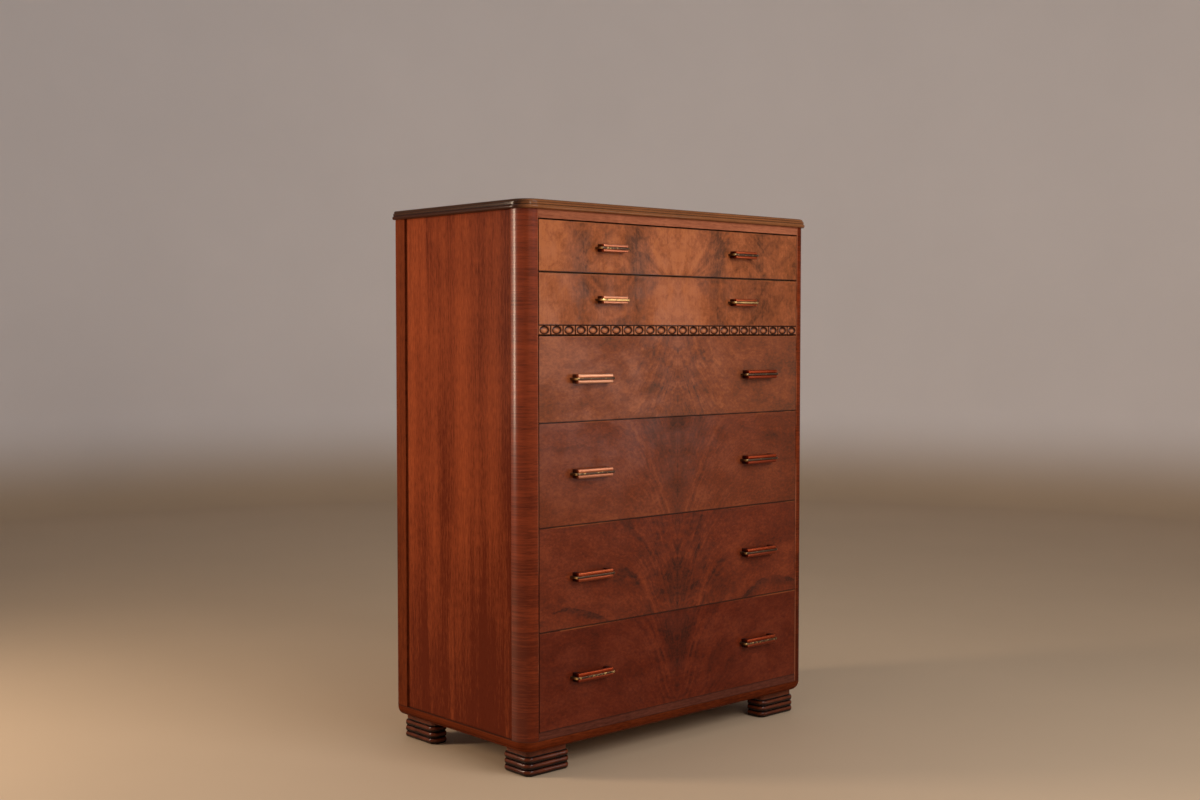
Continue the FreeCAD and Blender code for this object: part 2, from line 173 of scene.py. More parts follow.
class Finish:
    """Material whose nodes are added by expressions; x, y and z are the piece's own coordinates in metres."""

    def __init__(self, name):
        self.material = bpy.data.materials.new(name)
        self.material.use_nodes = True
        self.tree = self.material.node_tree
        self.shader = self.tree.nodes["Principled BSDF"]
        self.place = self.node("ShaderNodeTexCoord", out="Object")
        self.x = self.node("ShaderNodeSeparateXYZ", inputs={0: self.place})
        self.y = self.x.other(1)
        self.z = self.x.other(2)

    def node(self, kind, settings=None, inputs=None, out=0):
        """Any node: its settings first, with a ramp's stops among them, then its sockets."""
        made = self.tree.nodes.new(kind)
        for key, value in (settings or {}).items():
            if key == "stops":
                while len(made.color_ramp.elements) < len(value):
                    made.color_ramp.elements.new(1.0)
                for element, (position, colour) in zip(made.color_ramp.elements, value):
                    element.position = position
                    element.color = (*colour, 1.0)
            else:
                setattr(made, key, value)
        for key, value in (inputs or {}).items():
            self.feed(made.inputs[key], value)
        return Value(self, made.outputs[out])

    def feed(self, socket, value):
        """Links a value or sets a number or colour."""
        if isinstance(value, Value):
            self.tree.links.new(value.socket, socket)
        elif socket.type == "RGBA":
            socket.default_value = (*value[:3], 1.0)
        else:
            socket.default_value = value

    def vector(self, x, y, z=0.0):
        return self.node("ShaderNodeCombineXYZ", inputs={0: x, 1: y, 2: z})

    def noise(self, vector, detail=3.0, roughness=0.55, scale=1.0, distortion=0.0):
        return self.node("ShaderNodeTexNoise", {"normalize": True}, {
            "Vector": vector, "Scale": scale, "Detail": detail, "Roughness": roughness,
            "Distortion": distortion})

    def grain(self, along, across, seed, long_scale, cross_scale, detail=3.0, roughness=0.55, distortion=0.0):
        """Noise with a scale of its own along the grain and across it."""
        place = self.vector(along * long_scale, across * cross_scale, seed)
        return self.noise(place, detail, roughness, distortion=distortion)

    def ramp(self, value, *stops):
        return self.node("ShaderNodeValToRGB", {"stops": stops}, {0: value})

    def smooth(self, value, low, high):
        """0 below low and 1 above high with a soft step between; falls instead where low is above high."""
        start, end = (0.0, 1.0) if low < high else (1.0, 0.0)
        return self.node("ShaderNodeMapRange", {"interpolation_type": "SMOOTHSTEP"}, {
            "Value": value, "From Min": min(low, high), "From Max": max(low, high),
            "To Min": start, "To Max": end})

    def blend(self, factor, first, second, mode="MIX"):
        """Colour between two, by factor."""
        return self.node("ShaderNodeMix", {"data_type": "RGBA", "blend_type": mode}, {
            0: factor, 6: first, 7: second}, out=2)

    def attribute(self, name):
        return self.node("ShaderNodeAttribute", {"attribute_name": name}, out="Fac")

    def complete(self, colour, roughness, height=None, depth=0.0004, strength=0.3, **sockets):
        """Feeds the shader: colour, roughness, a bump of the given height, and other sockets by name."""
        self.feed(self.shader.inputs["Base Color"], colour)
        self.feed(self.shader.inputs["Roughness"], roughness)
        if height is not None:
            bump = self.node("ShaderNodeBump", inputs={
                "Strength": strength, "Distance": depth, "Height": height})
            self.feed(self.shader.inputs["Normal"], bump)
        for key, value in sockets.items():
            self.feed(self.shader.inputs[key.replace("_", " ").title().replace("Ior", "IOR")], value)
        return self.material


def dress(material, *names):
    """Gives CAD nodes a material."""
    for name in names:
        NODES[name].data.materials.clear()
        NODES[name].data.materials.append(material)


# Surfaces


class Shell:
    """Points, faces and values per point of one or more closed surfaces."""

    def __init__(self, points, faces, values=None):
        self.points = points.reshape(-1, 3)
        self.faces = faces
        self.values = values or {}

    @staticmethod
    def joined(shells):
        """One shell from several, with each one's face numbers moved past those before it."""
        starts = np.cumsum([0] + [len(s.points) for s in shells])
        faces = [[i + start for i in face] for s, start in zip(shells, starts) for face in s.faces]
        values = {k: np.concatenate([s.values[k] for s in shells]) for k in shells[0].values}
        return Shell(np.concatenate([s.points for s in shells]), faces, values)


def ring_faces(shape):
    """Numbers of a grid of rings' points, and the faces that join each ring to the next."""
    number = np.arange(shape[0] * shape[1]).reshape(shape)
    following = np.roll(number, -1, axis=1)
    corners = [number[:-1], following[:-1], following[1:], number[1:]]
    return number, np.stack(corners, axis=-1).reshape(-1, 4).tolist()


def tube(rings, **values):
    """Closed tube from rings (ring, place in ring, 3), each joined to the next, with capped ends."""
    shape = rings.shape[:2]
    number, faces = ring_faces(shape)
    faces += [number[0, ::-1].tolist(), number[-1].tolist()]
    return Shell(rings, faces, {k: np.broadcast_to(v, shape).ravel() for k, v in values.items()})


def shell_object(name, shell, material):
    """Object made from a shell, smooth all over."""
    mesh = bpy.data.meshes.new(name)
    mesh.from_pydata(shell.points.tolist(), [], shell.faces)
    for key, value in shell.values.items():
        mesh.attributes.new(key, "FLOAT", "POINT").data.foreach_set("value", np.asarray(value, np.float32))
    mesh.polygons.foreach_set("use_smooth", np.ones(len(mesh.polygons), bool))
    mesh.materials.append(material)
    made = bpy.data.objects.new(name, mesh)
    bpy.context.scene.collection.objects.link(made)
    return made


def make_piece(name, shell, material, body, slot, *replaced):
    """Piece made from a shell, welded, faces turned outwards, riding on a body in place of CAD nodes."""
    piece = shell_object(name, shell, material)
    work = bmesh.new()
    work.from_mesh(piece.data)
    bmesh.ops.remove_doubles(work, verts=work.verts, dist=WELD_DISTANCE)
    bmesh.ops.recalc_face_normals(work, faces=work.faces)
    work.to_mesh(piece.data)
    work.free()
    piece.data.set_sharp_from_angle(angle=SHARP_ANGLE)
    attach(piece, body)
    if replaced:
        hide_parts(*replaced)


def arc(centre, radius, start, end, count):
    """Points of a circle arc between two angles in degrees, both ends included."""
    angle = np.radians(np.linspace(start, end, count))
    return np.stack([centre[0] + radius * np.cos(angle), centre[1] + radius * np.sin(angle)], axis=-1)


def bow_path(low_x, high_x, front_y, back_y, radius, count):
    """Plan of a bow from its left end at the back round the front to its right end, with outward directions.

    Straight sides and front join two quarter circles of the given radius at the front corners."""
    left = arc((low_x + radius, front_y + radius), radius, 180, 270, count)
    right = arc((high_x - radius, front_y + radius), radius, 270, 360, count)
    plan = np.concatenate([[[low_x, back_y]], left, right, [[high_x, back_y]]])
    turns = [[180], np.linspace(180, 270, count), np.linspace(270, 360, count), [360]]
    turn = np.radians(np.concatenate(turns))
    return plan, np.stack([np.cos(turn), np.sin(turn)], axis=-1)


def levels(plan, outward, out, height):
    """Rings of a plan pushed outwards by out at each height."""
    flat = plan[None] + outward[None] * np.asarray(out)[:, None, None]
    rise = np.broadcast_to(np.asarray(height)[:, None, None], flat.shape[:2] + (1,))
    return np.concatenate([flat, rise], axis=-1)


def straight_levels(plan, *height):
    """Rings of a plan straight above each other."""
    return levels(plan, np.zeros_like(plan), np.zeros(len(height)), height)


def top_shell(form):
    """Top board: the plan of the case pushed out by the edge profile.

    From below, the profile is a half-round nose, a fine groove, a straight fascia, a second groove and a
    quarter-round lip that ends level with the top."""
    low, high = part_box("top_board")
    nose_points, lip_points = 13, 9
    fascia_share, fascia_proud, lip_step = 0.42, 0.4, 0.7
    nose, groove, step = form.nose_height, form.groove, form.moulding_step
    rest = high.z - low.z - nose - 2 * groove
    fascia = rest * fascia_share
    lip = rest - fascia
    set_back = -HALF_W - low.x - step
    fascia_out = set_back + groove * fascia_proud
    lip_out = fascia_out - step * lip_step
    nose_top = low.z + nose
    fascia_top = nose_top + groove + fascia
    lip_foot = fascia_top + groove
    nose_turn = np.radians(np.linspace(-90, 90, nose_points))
    lip_turn = np.radians(np.linspace(0, 90, lip_points))
    out = np.concatenate([
        set_back + step * np.cos(nose_turn),
        [set_back - groove, set_back - groove, fascia_out, fascia_out],
        [lip_out - groove, lip_out - groove, lip_out],
        lip_out - lip * (1 - np.cos(lip_turn))])
    height = np.concatenate([
        low.z + nose / 2 * (1 + np.sin(nose_turn)),
        [nose_top, nose_top + groove, nose_top + groove, fascia_top],
        [fascia_top, lip_foot, lip_foot],
        lip_foot + (high.z - lip_foot) * np.sin(lip_turn)])
    # Points in the fine grooves, where the finish paints shade.
    hollow = np.concatenate([np.zeros(nose_points), [1, 1, 0, 0], [1, 1, 0], np.zeros(lip_points)])
    plan, outward = bow_path(-HALF_W, HALF_W, FRONT_Y, REAR_Y, form.corner_radius, CORNER_POINTS)
    return tube(levels(plan, outward, out, height), hollow=hollow[:, None])


def post_shell(side, form):
    """Corner post: its plan of a quarter circle and four straight sides stands from the base to the top."""
    low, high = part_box("left_front_post")
    round_points, edge_points = 25, 5
    radius, soft = form.corner_radius, form.soft_edge
    curve = arc((low.x + radius, low.y + radius), radius, 270, 180, round_points)
    corner = arc((low.x + soft, high.y - soft), soft, 180, 90, edge_points)
    front = arc((high.x - soft, low.y + soft), soft, 0, -90, edge_points)
    plan = np.concatenate([curve, corner, [[high.x, high.y]], front]) * (side, 1)
    return tube(straight_levels(plan, low.z, high.z))


def base_shell(form):
    """Base: a section with a quarter-round lower outer edge is carried along the front and both sides."""
    low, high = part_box("base_front_moulding")
    side_low, side_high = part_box("base_left_moulding")
    round_points, edge_points = 11, 5
    radius, soft = form.base_round, form.soft_edge
    plan, outward = bow_path(-HALF_W, HALF_W, FRONT_Y, REAR_Y - form.base_setback, form.corner_radius,
                             CORNER_POINTS)
    inner_half = HALF_W - side_high.x + side_low.x
    inner = np.stack([np.clip(plan[:, 0], -inner_half, inner_half), np.maximum(plan[:, 1], high.y)], axis=-1)
    lower = np.radians(np.linspace(-90, 0, round_points))
    upper = np.radians(np.linspace(0, 90, edge_points))
    out = np.concatenate([radius * (np.cos(lower) - 1), soft * (np.cos(upper) - 1)])
    height = np.concatenate([low.z + radius * (1 + np.sin(lower)), high.z - soft * (1 - np.sin(upper))])
    outer = levels(plan, outward, out, height)
    inside = straight_levels(inner, high.z, low.z)
    return tube(np.concatenate([outer, inside]).transpose(1, 0, 2))


def foot_corners(depth, width, wing):
    """Corners of a foot from the outer front one round: place, and the first angle of a round corner or the
    way that the reeds stand out at a sawn one.

    A foot wider than its wing has a second wing along the front."""
    if width > wing:
        return ((0, 0, 180), (width, 0, 270), (width, wing, (1, 0)), (wing, wing, (0, 0)),
                (wing, depth, (0, 1)), (0, depth, 90))
    return (0, 0, 180), (width, 0, 270), (width, depth, (1, 0)), (0, depth, (-1, 0))


def foot_shell(corners, low, high, side, form):
    """Reeded foot: its plan is pushed in by a profile of reeds, each half an ellipse, under a hollow neck.

    The value crest is 1 a little above the middle of each reed, where the finish paints the lit upper side,
    and falls to 0 between two reeds."""
    steps, corner_points, neck_points = 12, 11, 6
    crest_lean, neck_crest = 1.6, 0.95
    radius, reeds = form.foot_corner, form.reeds
    plan, outward = [], []
    for x, y, turn in corners:
        if isinstance(turn, tuple):
            plan.append([(x, y)])
            outward.append([turn])
            continue
        angle = np.radians(np.linspace(turn, turn + 90, corner_points))
        way = np.stack([np.cos(angle), np.sin(angle)], axis=-1)
        plan.append(np.array((x, y)) + radius * (way - way[0] - way[-1]))
        outward.append(way)
    place = np.arange(reeds * steps + 1) / steps
    bulge = np.abs(np.sin(np.pi * place))
    reed = (high.z - low.z - form.neck_height) / reeds
    height = reed * (np.floor(place) + (1 - np.cos(np.pi * (place % 1))) / 2)
    neck = np.linspace(0, 1, neck_points + 1)[1:]
    out = np.concatenate([form.reed_depth * (bulge - 1),
                          -form.reed_depth - form.neck_hollow * np.sin(np.pi * neck)])
    height = low.z + np.concatenate([height, height[-1] + neck * form.neck_height])
    rings = levels(np.concatenate(plan), np.concatenate(outward), out, height)
    crest = np.concatenate([np.sin(np.pi * (place % 1) ** crest_lean), np.full(neck_points, neck_crest)])
    return tube((rings + (low.x, low.y, 0)) * (side, 1, 1), crest=crest[:, None])


def band_shell(form):
    """Carved rail: its face sinks by a depth that repeats with each tile, and straight sides run back.

    Within a tile an oval boss rises as a blunt cone with a rounded tip out of a sunk ring; outside the ring
    the field is flat again, and narrow grooves part the tiles and edge the band. The value raised is the
    height of the carving, less on the upper half of a boss and on the field, as painted shade."""
    low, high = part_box("carved_rail")
    tile_steps, rows = 32, 25
    tip_round = 0.55
    ring_width, ring_depth = 0.13, 0.7
    field_rise, field_height = 0.25, 0.95
    boss_reach, upper_painted_shade, field_painted_shade = 1.05, 0.45, 0.22
    across = np.linspace(-OPENING_HALF, OPENING_HALF, form.tiles * tile_steps + 1)
    up = np.linspace(low.z, high.z, rows)
    tile = 2 * OPENING_HALF / form.tiles
    x = (across + OPENING_HALF) % tile - tile / 2
    x[-1] = tile / 2
    z = up - (low.z + high.z) / 2
    distance = np.hypot(x[:, None] / form.boss_half_width, z[None] / form.boss_half_height)
    dome = (np.sqrt(np.clip(1 - distance ** 2, 0, 1)) * tip_round
            + np.clip(1 - distance, 0, 1) * (1 - tip_round))
    ring = np.exp(-((distance - 1.0) / ring_width) ** 2)
    field = np.clip((distance - 1.0) / field_rise, 0, 1) * field_height
    raised = np.where(distance < 1, dome, field) * (1 - ring_depth * ring)
    parting = np.exp(-((tile / 2 - np.abs(x[:, None])) / form.parting_width) ** 4)
    edge = np.clip(((high.z - low.z) / 2 - np.abs(z[None])) / form.band_margin, 0, 1)
    raised = raised * (1 - parting) * edge
    sunk = form.carve_depth * (1 - raised)
    face = np.stack([np.broadcast_to(across[:, None], sunk.shape), FRONT_Y + sunk,
                     np.broadcast_to(up[None], sunk.shape)], axis=-1)
    behind = np.stack([np.stack([across, np.full_like(across, high.y), np.full_like(across, level)], axis=-1)
                       for level in (high.z, low.z)], axis=1)
    # Painted shade: the upper half of each boss and the field are made darker.
    upper_half = np.clip(z[None] / form.boss_half_height, 0, 1)
    raised = raised - np.where(distance < boss_reach, upper_painted_shade * upper_half, field_painted_shade)
    raised = np.concatenate([raised, np.zeros((len(across), 2))], axis=1)
    return tube(np.concatenate([face, behind], axis=1), raised=raised)


def pull_shell(low, high, form):
    """Bar pull: a section of two soft ribs with a raised strap between them is carried along a bow.

    The bow comes forward out of the drawer front, turns a corner, runs along the front and turns back. The
    strap follows a wider bow with rounder corners, so that it stands out most at the ends."""
    corner_points, section_points = 11, 9
    strap_fall = 0.6
    end, proud = form.strap_end, form.strap_raise
    wide, outward = bow_path(low.x, high.x, low.y, FRONT_Y, form.strap_corner, corner_points)
    narrow, _ = bow_path(low.x + end, high.x - end, low.y + proud, FRONT_Y, form.soft_edge, corner_points)
    inner = np.stack([np.clip(wide[:, 0], low.x + end + form.pull_end, high.x - end - form.pull_end),
                      np.maximum(wide[:, 1], low.y + form.pull_grip)], axis=-1)
    half, strap, middle = (high.z - low.z) / 2, form.strap_height / 2, (low.z + high.z) / 2
    rib = (half - strap) / 2
    angle = np.radians(np.linspace(-90, 90, section_points))
    rib_out = -form.rib_round * (1 - np.cos(angle))
    strap_out = -proud * strap_fall * (1 - np.cos(angle) ** 0.5)
    lower = levels(narrow, outward, rib_out, middle - half + rib * (1 + np.sin(angle)))
    band = levels(wide, outward, strap_out, middle + strap * np.sin(angle))
    upper = levels(narrow, outward, rib_out, middle + half - rib * (1 - np.sin(angle)))
    inside = straight_levels(inner, high.z, low.z)
    on_strap = np.repeat([0.0, 1.0, 0.0], [section_points, section_points, section_points + 2])
    return tube(np.concatenate([lower, band, upper, inside]).transpose(1, 0, 2), strap=on_strap[None])


def stud_shell(x, y, z, radius, height):
    """Domed head: rings of a circle shrink as a quarter ellipse rises along y, its foot sunk in the wood."""
    points, sunk_share = 16, 0.2
    turn = np.linspace(0, 2 * np.pi, points, endpoint=False)
    rise = np.radians(np.array([0, 0, 35, 65, 84]))
    reach = radius * np.cos(rise)
    out = np.concatenate([[-sunk_share], np.sin(rise[1:])]) * height
    level = np.broadcast_to(y + out[:, None], (len(rise), points))
    rings = [x + reach[:, None] * np.cos(turn), level, z + reach[:, None] * np.sin(turn)]
    return tube(np.stack(rings, axis=-1))


def room_shell(stage):
    """Round room: a floor, a cove of a quarter circle and a wall, turned about the middle, open above."""
    cove_points, wall_points = 13, 96
    hub, cove_radius, drop = 0.5, 0.5, 0.0004
    cove = arc((stage.room_radius - cove_radius, cove_radius), cove_radius, -90, 0, cove_points)
    profile = np.concatenate([[[hub, 0.0]], cove, [[stage.room_radius, stage.room_height]]])
    turn = np.linspace(0, 2 * np.pi, wall_points, endpoint=False)
    reach = np.broadcast_to(profile[:, :1], (len(profile), wall_points))
    level = 0 * reach + profile[:, 1:] - drop
    rings = np.stack([reach * np.cos(turn), reach * np.sin(turn), level], axis=-1)
    number, outer_faces = ring_faces(rings.shape[:2])
    return Shell(rings, [face[::-1] for face in outer_faces] + [number[0].tolist()])


# Finishes


def crotch_veneer(number, look):
    """Figured veneer of a deep front, mirrored about the middle of the chest.

    Streaks follow curves of height plus a hyperbolic tangent of the distance from the middle: they stand
    steep near the middle and level out towards the ends. Bright and dark lines edge the plume, smoke fills
    it, burr mottles it, and a dark hill line, a parabola, crosses the outer parts."""
    finish = Finish(f"crotch_veneer_{number}")
    opens, rays, weights, (top_side, top_level, half_width, fall) = PLUMES[number]
    smoke_weight, ray_weight, burr_weight, hill_weight = weights
    plume_spread, plume_climb = 0.12, 0.32
    ray_width, shade_offset, shade_width = 0.019, 0.024, 0.020
    # Painted shade that darkens a deep front towards its right end, most on the upper ones.
    right_painted_shade = 0.46 - 0.08 * number
    side, z = abs(finish.x), finish.z
    twist = finish.x * MIRROR_DRIFT + number * 3.7
    near = finish.smooth(side, 0.24, 0.05)

    # The plume's own coordinate, and the noises that lie along it, across it and over the whole front.
    wander = finish.grain(side, z, twist, 7.0, 9.0, 4.0, 0.6) - 0.5
    ripple = finish.grain(side, z, twist, 34.0, 60.0, 3.0, 0.6) - 0.5
    sway = finish.grain(side, z, twist + 20.0, 9.0, 12.0, 3.0, 0.55) - 0.5
    plume = ((z - drawer_middle(number)) * -opens + (side / plume_spread).tanh() * plume_climb
             + wander * (side * 0.24 + 0.05) + ripple * 0.005)
    streak = finish.grain(side, plume, twist, 3.5, 46.0, 5.0, 0.62)
    line = finish.grain(side, plume, twist + 9.0, 5.0, 150.0, 3.0, 0.6)
    fine = finish.grain(side, plume, twist + 5.0, 26.0, 640.0, 2.0)
    stroke = finish.grain(z, plume, twist + 13.0, 26.0, 44.0, 4.0, 0.62)
    smoke = finish.grain(z, side, twist + 3.0, 7.0, 60.0, 4.0, 0.6)
    cloud = finish.grain(side, z, twist + 2.0, 9.0, 13.0, 5.0, 0.62)
    mottle = finish.grain(side, z, twist + 6.0, 26.0, 34.0, 5.0, 0.65, distortion=1.2)
    fleck = finish.grain(side, z, twist, 130.0, 180.0, 3.0, 0.65)

    # Bright rays with a dark line beside each, broken by the mottle, and burr strokes near the middle.
    broken = finish.smooth(side, 0.20, 0.10) * finish.smooth(mottle, 0.40, 0.58) * ray_weight
    glow, shade = 0.0, 0.0
    for ray in rays:
        for offset, strength in RAY_LINES:
            off_line = plume + sway * 0.06 - (ray + offset)
            glow = glow + finish.smooth(abs(off_line), ray_width, 0.0) * strength
            shade = shade + finish.smooth(abs(off_line - shade_offset), shade_width, 0.0) * strength
    glow = glow * broken + finish.smooth(stroke, 0.54, 0.68) * near * burr_weight * 0.6
    shade = shade * broken + finish.smooth(stroke, 0.46, 0.30) * near * burr_weight * 0.9

    # Smoke in the heart of the plume, the hill line, and fainter streaks where the halves meet.
    heart = finish.smooth(plume + cloud.swing(0.14), rays[0] + 0.03, rays[0] - 0.10)
    above = (top_level - fall * ((side - top_side) / half_width) ** 2.0 + wander * 0.03 + ripple * 0.008 - z)
    hill = (finish.smooth(above, -0.001, 0.0025) * finish.smooth(above, 0.024, 0.003)
            * finish.smooth(side, 0.13, 0.22) * finish.smooth(streak, 0.30, 0.56))
    axis = finish.smooth(side, 0.0, 0.06) * 0.75 + 0.25

    # Depth of the figure, with painted shade towards the right end.
    depth = (heart * (smoke * 0.62 - 0.02) * smoke_weight
             + streak.swing(near * 0.25 + 0.40) * axis
             + line.swing(near * 0.10 + 0.28) * axis
             + finish.smooth(finish.x, 0.15, 0.42) * right_painted_shade
             + mottle.swing(near * 0.60 + 0.40) * burr_weight
             + cloud.swing(0.4 + 0.7 * burr_weight)
             + fleck.swing(0.85) + fine.swing(0.4)
             + shade * 0.24 - glow * 0.26
             + hill * hill_weight * look.hill_depth
             + finish.smooth(side, 0.0012, 0.0003) * 0.14)
    colour = finish.ramp(depth + 0.36, (0.0, look.lower_light), (0.40, look.lower_middle),
                         (0.95, look.lower_dark))
    return front_finish(finish, colour, fine, cloud, number, look)


def fan_veneer(number, look):
    """Figured veneer of a shallow front in four leaves.

    The leaves mirror each other at the middle, at the pulls and at the line between the two shallow drawers.
    Smoky columns stand beside the pulls, weaker in the outer leaves and weakest in the right one, loops hang
    between them, and at the middle petals fan out from a point."""
    finish = Finish(f"fan_veneer_{number}")
    seam_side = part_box(f"drawer_{number}_pulls")[1].x - look.leaf_seam
    column_place, fan_lift = 0.075, 0.035
    bold, petal_weight, left_painted_sheen = 1.6 - 0.3 * number, 3.0 - 1.15 * number, 0.44 - 0.16 * number
    side, z = abs(finish.x), finish.z
    twist = finish.x * MIRROR_DRIFT + number * 5.3
    leaf = abs(side - seam_side)
    lift = abs(z - drawer_box(1)[0].z) + fan_lift
    near, centre = finish.smooth(leaf, 0.11, 0.06), finish.smooth(side, 0.14, 0.06)

    # Noises of the petals, the columns and the loops, and those that lie over the whole front.
    wander = finish.grain(side, z, twist, 9.0, 9.0, 4.0, 0.6) - 0.5
    petal = finish.grain(lift, side / lift + wander * 0.45, twist, 6.0, 2.6, 4.0, 0.6)
    feather = finish.grain(z, leaf + lift * 0.25 + wander * 0.02, twist + 3.0, 9.0, 80.0, 4.0, 0.65)
    loop = finish.grain(leaf, lift + leaf * leaf * 9.0 + wander * 0.06, twist + 4.0, 9.0, 62.0, 4.0, 0.6)
    cloud = finish.grain(leaf, z, twist + 2.0, 16.0, 12.0, 5.0, 0.62)
    mottle = finish.grain(side, z, twist + 6.0, 30.0, 30.0, 5.0, 0.65, distortion=1.0)
    fleck = finish.grain(side, z, twist, 170.0, 130.0, 3.0, 0.65)
    fine = finish.grain(z, side, twist + 5.0, 24.0, 700.0, 2.0)

    # Smoke of the columns, with a thin seam in each.
    column = abs(leaf - column_place + wander * 0.02)
    outer = finish.smooth(side, seam_side - 0.02, seam_side + 0.02)
    weight = 1.0 - outer * (finish.smooth(finish.x, -0.05, 0.05) * 0.25 + 0.3)
    smoke = finish.smooth(column + cloud.swing(0.22), 0.070, -0.012) * weight
    seam = finish.smooth(column, 0.0022, 0.0005)

    # Besides the figure: painted shade at the right end, and a painted sheen at the left end, most on drawer
    # 1.
    depth = (smoke * (feather * 0.80 + 0.02) * bold + seam * 0.10
             + petal.swing(petal_weight) * centre
             + loop.swing(0.7) * near * bold
             + cloud.swing(1.0) + mottle.swing(1.1) * bold
             + fleck.swing(0.85) + fine.swing(0.4)
             + (wander + 0.06).most(0.0) * near * 1.1
             + finish.smooth(finish.x, 0.10, 0.42) * 0.27
             - finish.smooth(finish.x, -0.28, -0.42) * left_painted_sheen)
    colour = finish.ramp(depth + 0.26, (0.0, look.upper_light), (0.42, look.upper_middle),
                         (0.95, look.upper_dark))
    return front_finish(finish, colour, fine, cloud, number, look)


def front_finish(finish, colour, fine, cloud, number, look):
    """A front's tone and varnish over its figure: dirt along its edges, most at the lower one, a worn upper
    edge towards the ends, stained edges behind the face, and bare wood on the back."""
    low, high = drawer_box(number)
    rub_width, dirt_width, worn_width, skin = 0.0016, 0.0024, 0.0032, 0.0006
    x, y, z = finish.x, finish.y, finish.z
    # Each front's own tone, with painted shade on the lower fronts and a painted sheen on drawer 3.
    colour = finish.blend(1.0, colour, FRONT_TONES_AND_PAINTED_LIGHT[number], "MULTIPLY")
    edge = (z - low.z).least(high.z - z).least(abs(abs(x) - high.x))
    rubbed = finish.smooth(edge + cloud.swing(0.004), rub_width, 0.0)
    colour = finish.blend(rubbed * 0.5, colour, look.stain_dark)
    dirt = finish.smooth(z - low.z, dirt_width, dirt_width / 3)
    colour = finish.blend(dirt * 0.7, colour, look.stain_dark)
    worn = finish.smooth(high.z - z, worn_width, worn_width / 2) * finish.smooth(abs(x), 0.12, 0.30)
    colour = finish.blend(worn * finish.smooth(cloud, 0.42, 0.58) * 0.4, colour, look.upper_light)
    behind = finish.smooth(y, FRONT_Y + skin, FRONT_Y + 2 * skin)
    colour = finish.blend(behind, colour, look.stain)
    bare = finish.grain(x, z, 3.0, 9.0, 260.0)
    bare_colour = finish.ramp(bare, (0.25, look.bare_dark), (0.75, look.bare_light))
    back = finish.smooth(y, FRONT_BACK_Y - 2 * skin, FRONT_BACK_Y - skin)
    colour = finish.blend(back, colour, bare_colour)
    shine = (finish.smooth(cloud, 0.64, 0.36) * 1.5 + 0.3) * look.polish
    return finish.complete(colour, cloud * 0.20 + 0.28, fine, depth=0.0002, strength=0.25,
                           specular_ior_level=0.05, coat_weight=shine, coat_roughness=0.20)


def straight_veneer(name, look, along, across, colours, seed, bands=0.6, band_scale=18.0, gloss=0.05,
                    lines=0.6, fall=0.0, leaf_seam=None, worn_edge=None):
    """Straight-grained veneer: broad bands, fine lines, short pores and dark marks, drawn out along one
    coordinate, with dirt in the joint at the foot of the case.

    It darkens downwards by the given fall, partly painted shade where the light falls off towards the floor
    and partly a darker stain, and its varnish is rubbed off the front. With a leaf seam, two leaves mirror
    each other there, and the front one is a little darker. With a worn edge, a light line shows along it on
    both sides of the chest."""
    light, dark = colours
    middle = [(a + b) / 2 for a, b in zip(light, dark)]
    deep = [c * 0.35 for c in dark]
    fall_top, fall_foot = 0.65, 0.08
    rubbed_off, full_gloss = FRONT_Y + 0.002, FRONT_Y + 0.015
    seam_half, joint_half, worn_half = 0.0006, 0.0014, 0.0026
    finish = Finish(name)
    run, cross = getattr(finish, along), getattr(finish, across)
    # Darker downwards: partly painted shade, partly stain.
    shade = finish.smooth(finish.z, fall_top, fall_foot) * fall
    if leaf_seam is not None:
        shade = shade + finish.smooth(cross, leaf_seam + seam_half, leaf_seam - seam_half) * 0.12
        cross = abs(cross - leaf_seam)
    slow = finish.vector(finish.x * 2.0, finish.y * 2.0, finish.z * 2.0)
    cross = cross + finish.noise(slow, 2.0).swing(0.02)

    band = finish.grain(run, cross, seed, 0.7, band_scale, 3.0)
    line = finish.grain(run, cross, seed + 3.0, 6.0, 240.0, 4.0, 0.6)
    speck = finish.grain(run, cross, seed + 4.0, 50.0, 260.0, 3.0, 0.65)
    pore = finish.grain(run, cross, seed + 6.0, 60.0, 1000.0, 1.0)
    mark = finish.grain(run, cross, seed + 8.0, 22.0, 130.0, 2.0)
    patch = finish.noise(finish.place, 4.0, 0.6, scale=7.0)
    depth = (band.swing(bands) * 2.0 + line.swing(lines) + speck.swing(0.95) + patch.swing(0.5) + 0.5 + shade)
    colour = finish.ramp(depth, (0.15, light), (0.5, middle), (0.85, dark))
    colour = finish.blend(finish.smooth(pore, 0.58, 0.72) * 0.45, colour, deep)
    colour = finish.blend(finish.smooth(mark, 0.66, 0.78) * 0.5, colour, deep)
    joint = finish.smooth(abs(finish.z - CASE_LOW.z), joint_half, 0.0004)
    colour = finish.blend(joint * 0.7, colour, look.stain_dark)
    if worn_edge is not None:
        rubbed = finish.smooth(abs(abs(finish.x) - worn_edge), worn_half, 0.0010)
        rubbed = rubbed * finish.smooth(patch, 0.38, 0.56)
        colour = finish.blend(rubbed * 0.55, colour, look.rail_light)
    shine = finish.smooth(finish.y, rubbed_off, full_gloss) * gloss
    return finish.complete(colour, line * 0.14 + patch * 0.1 + 0.26, pore, depth=0.0002, strength=0.2,
                           specular_ior_level=gloss * 0.25, coat_weight=shine, coat_roughness=0.22)


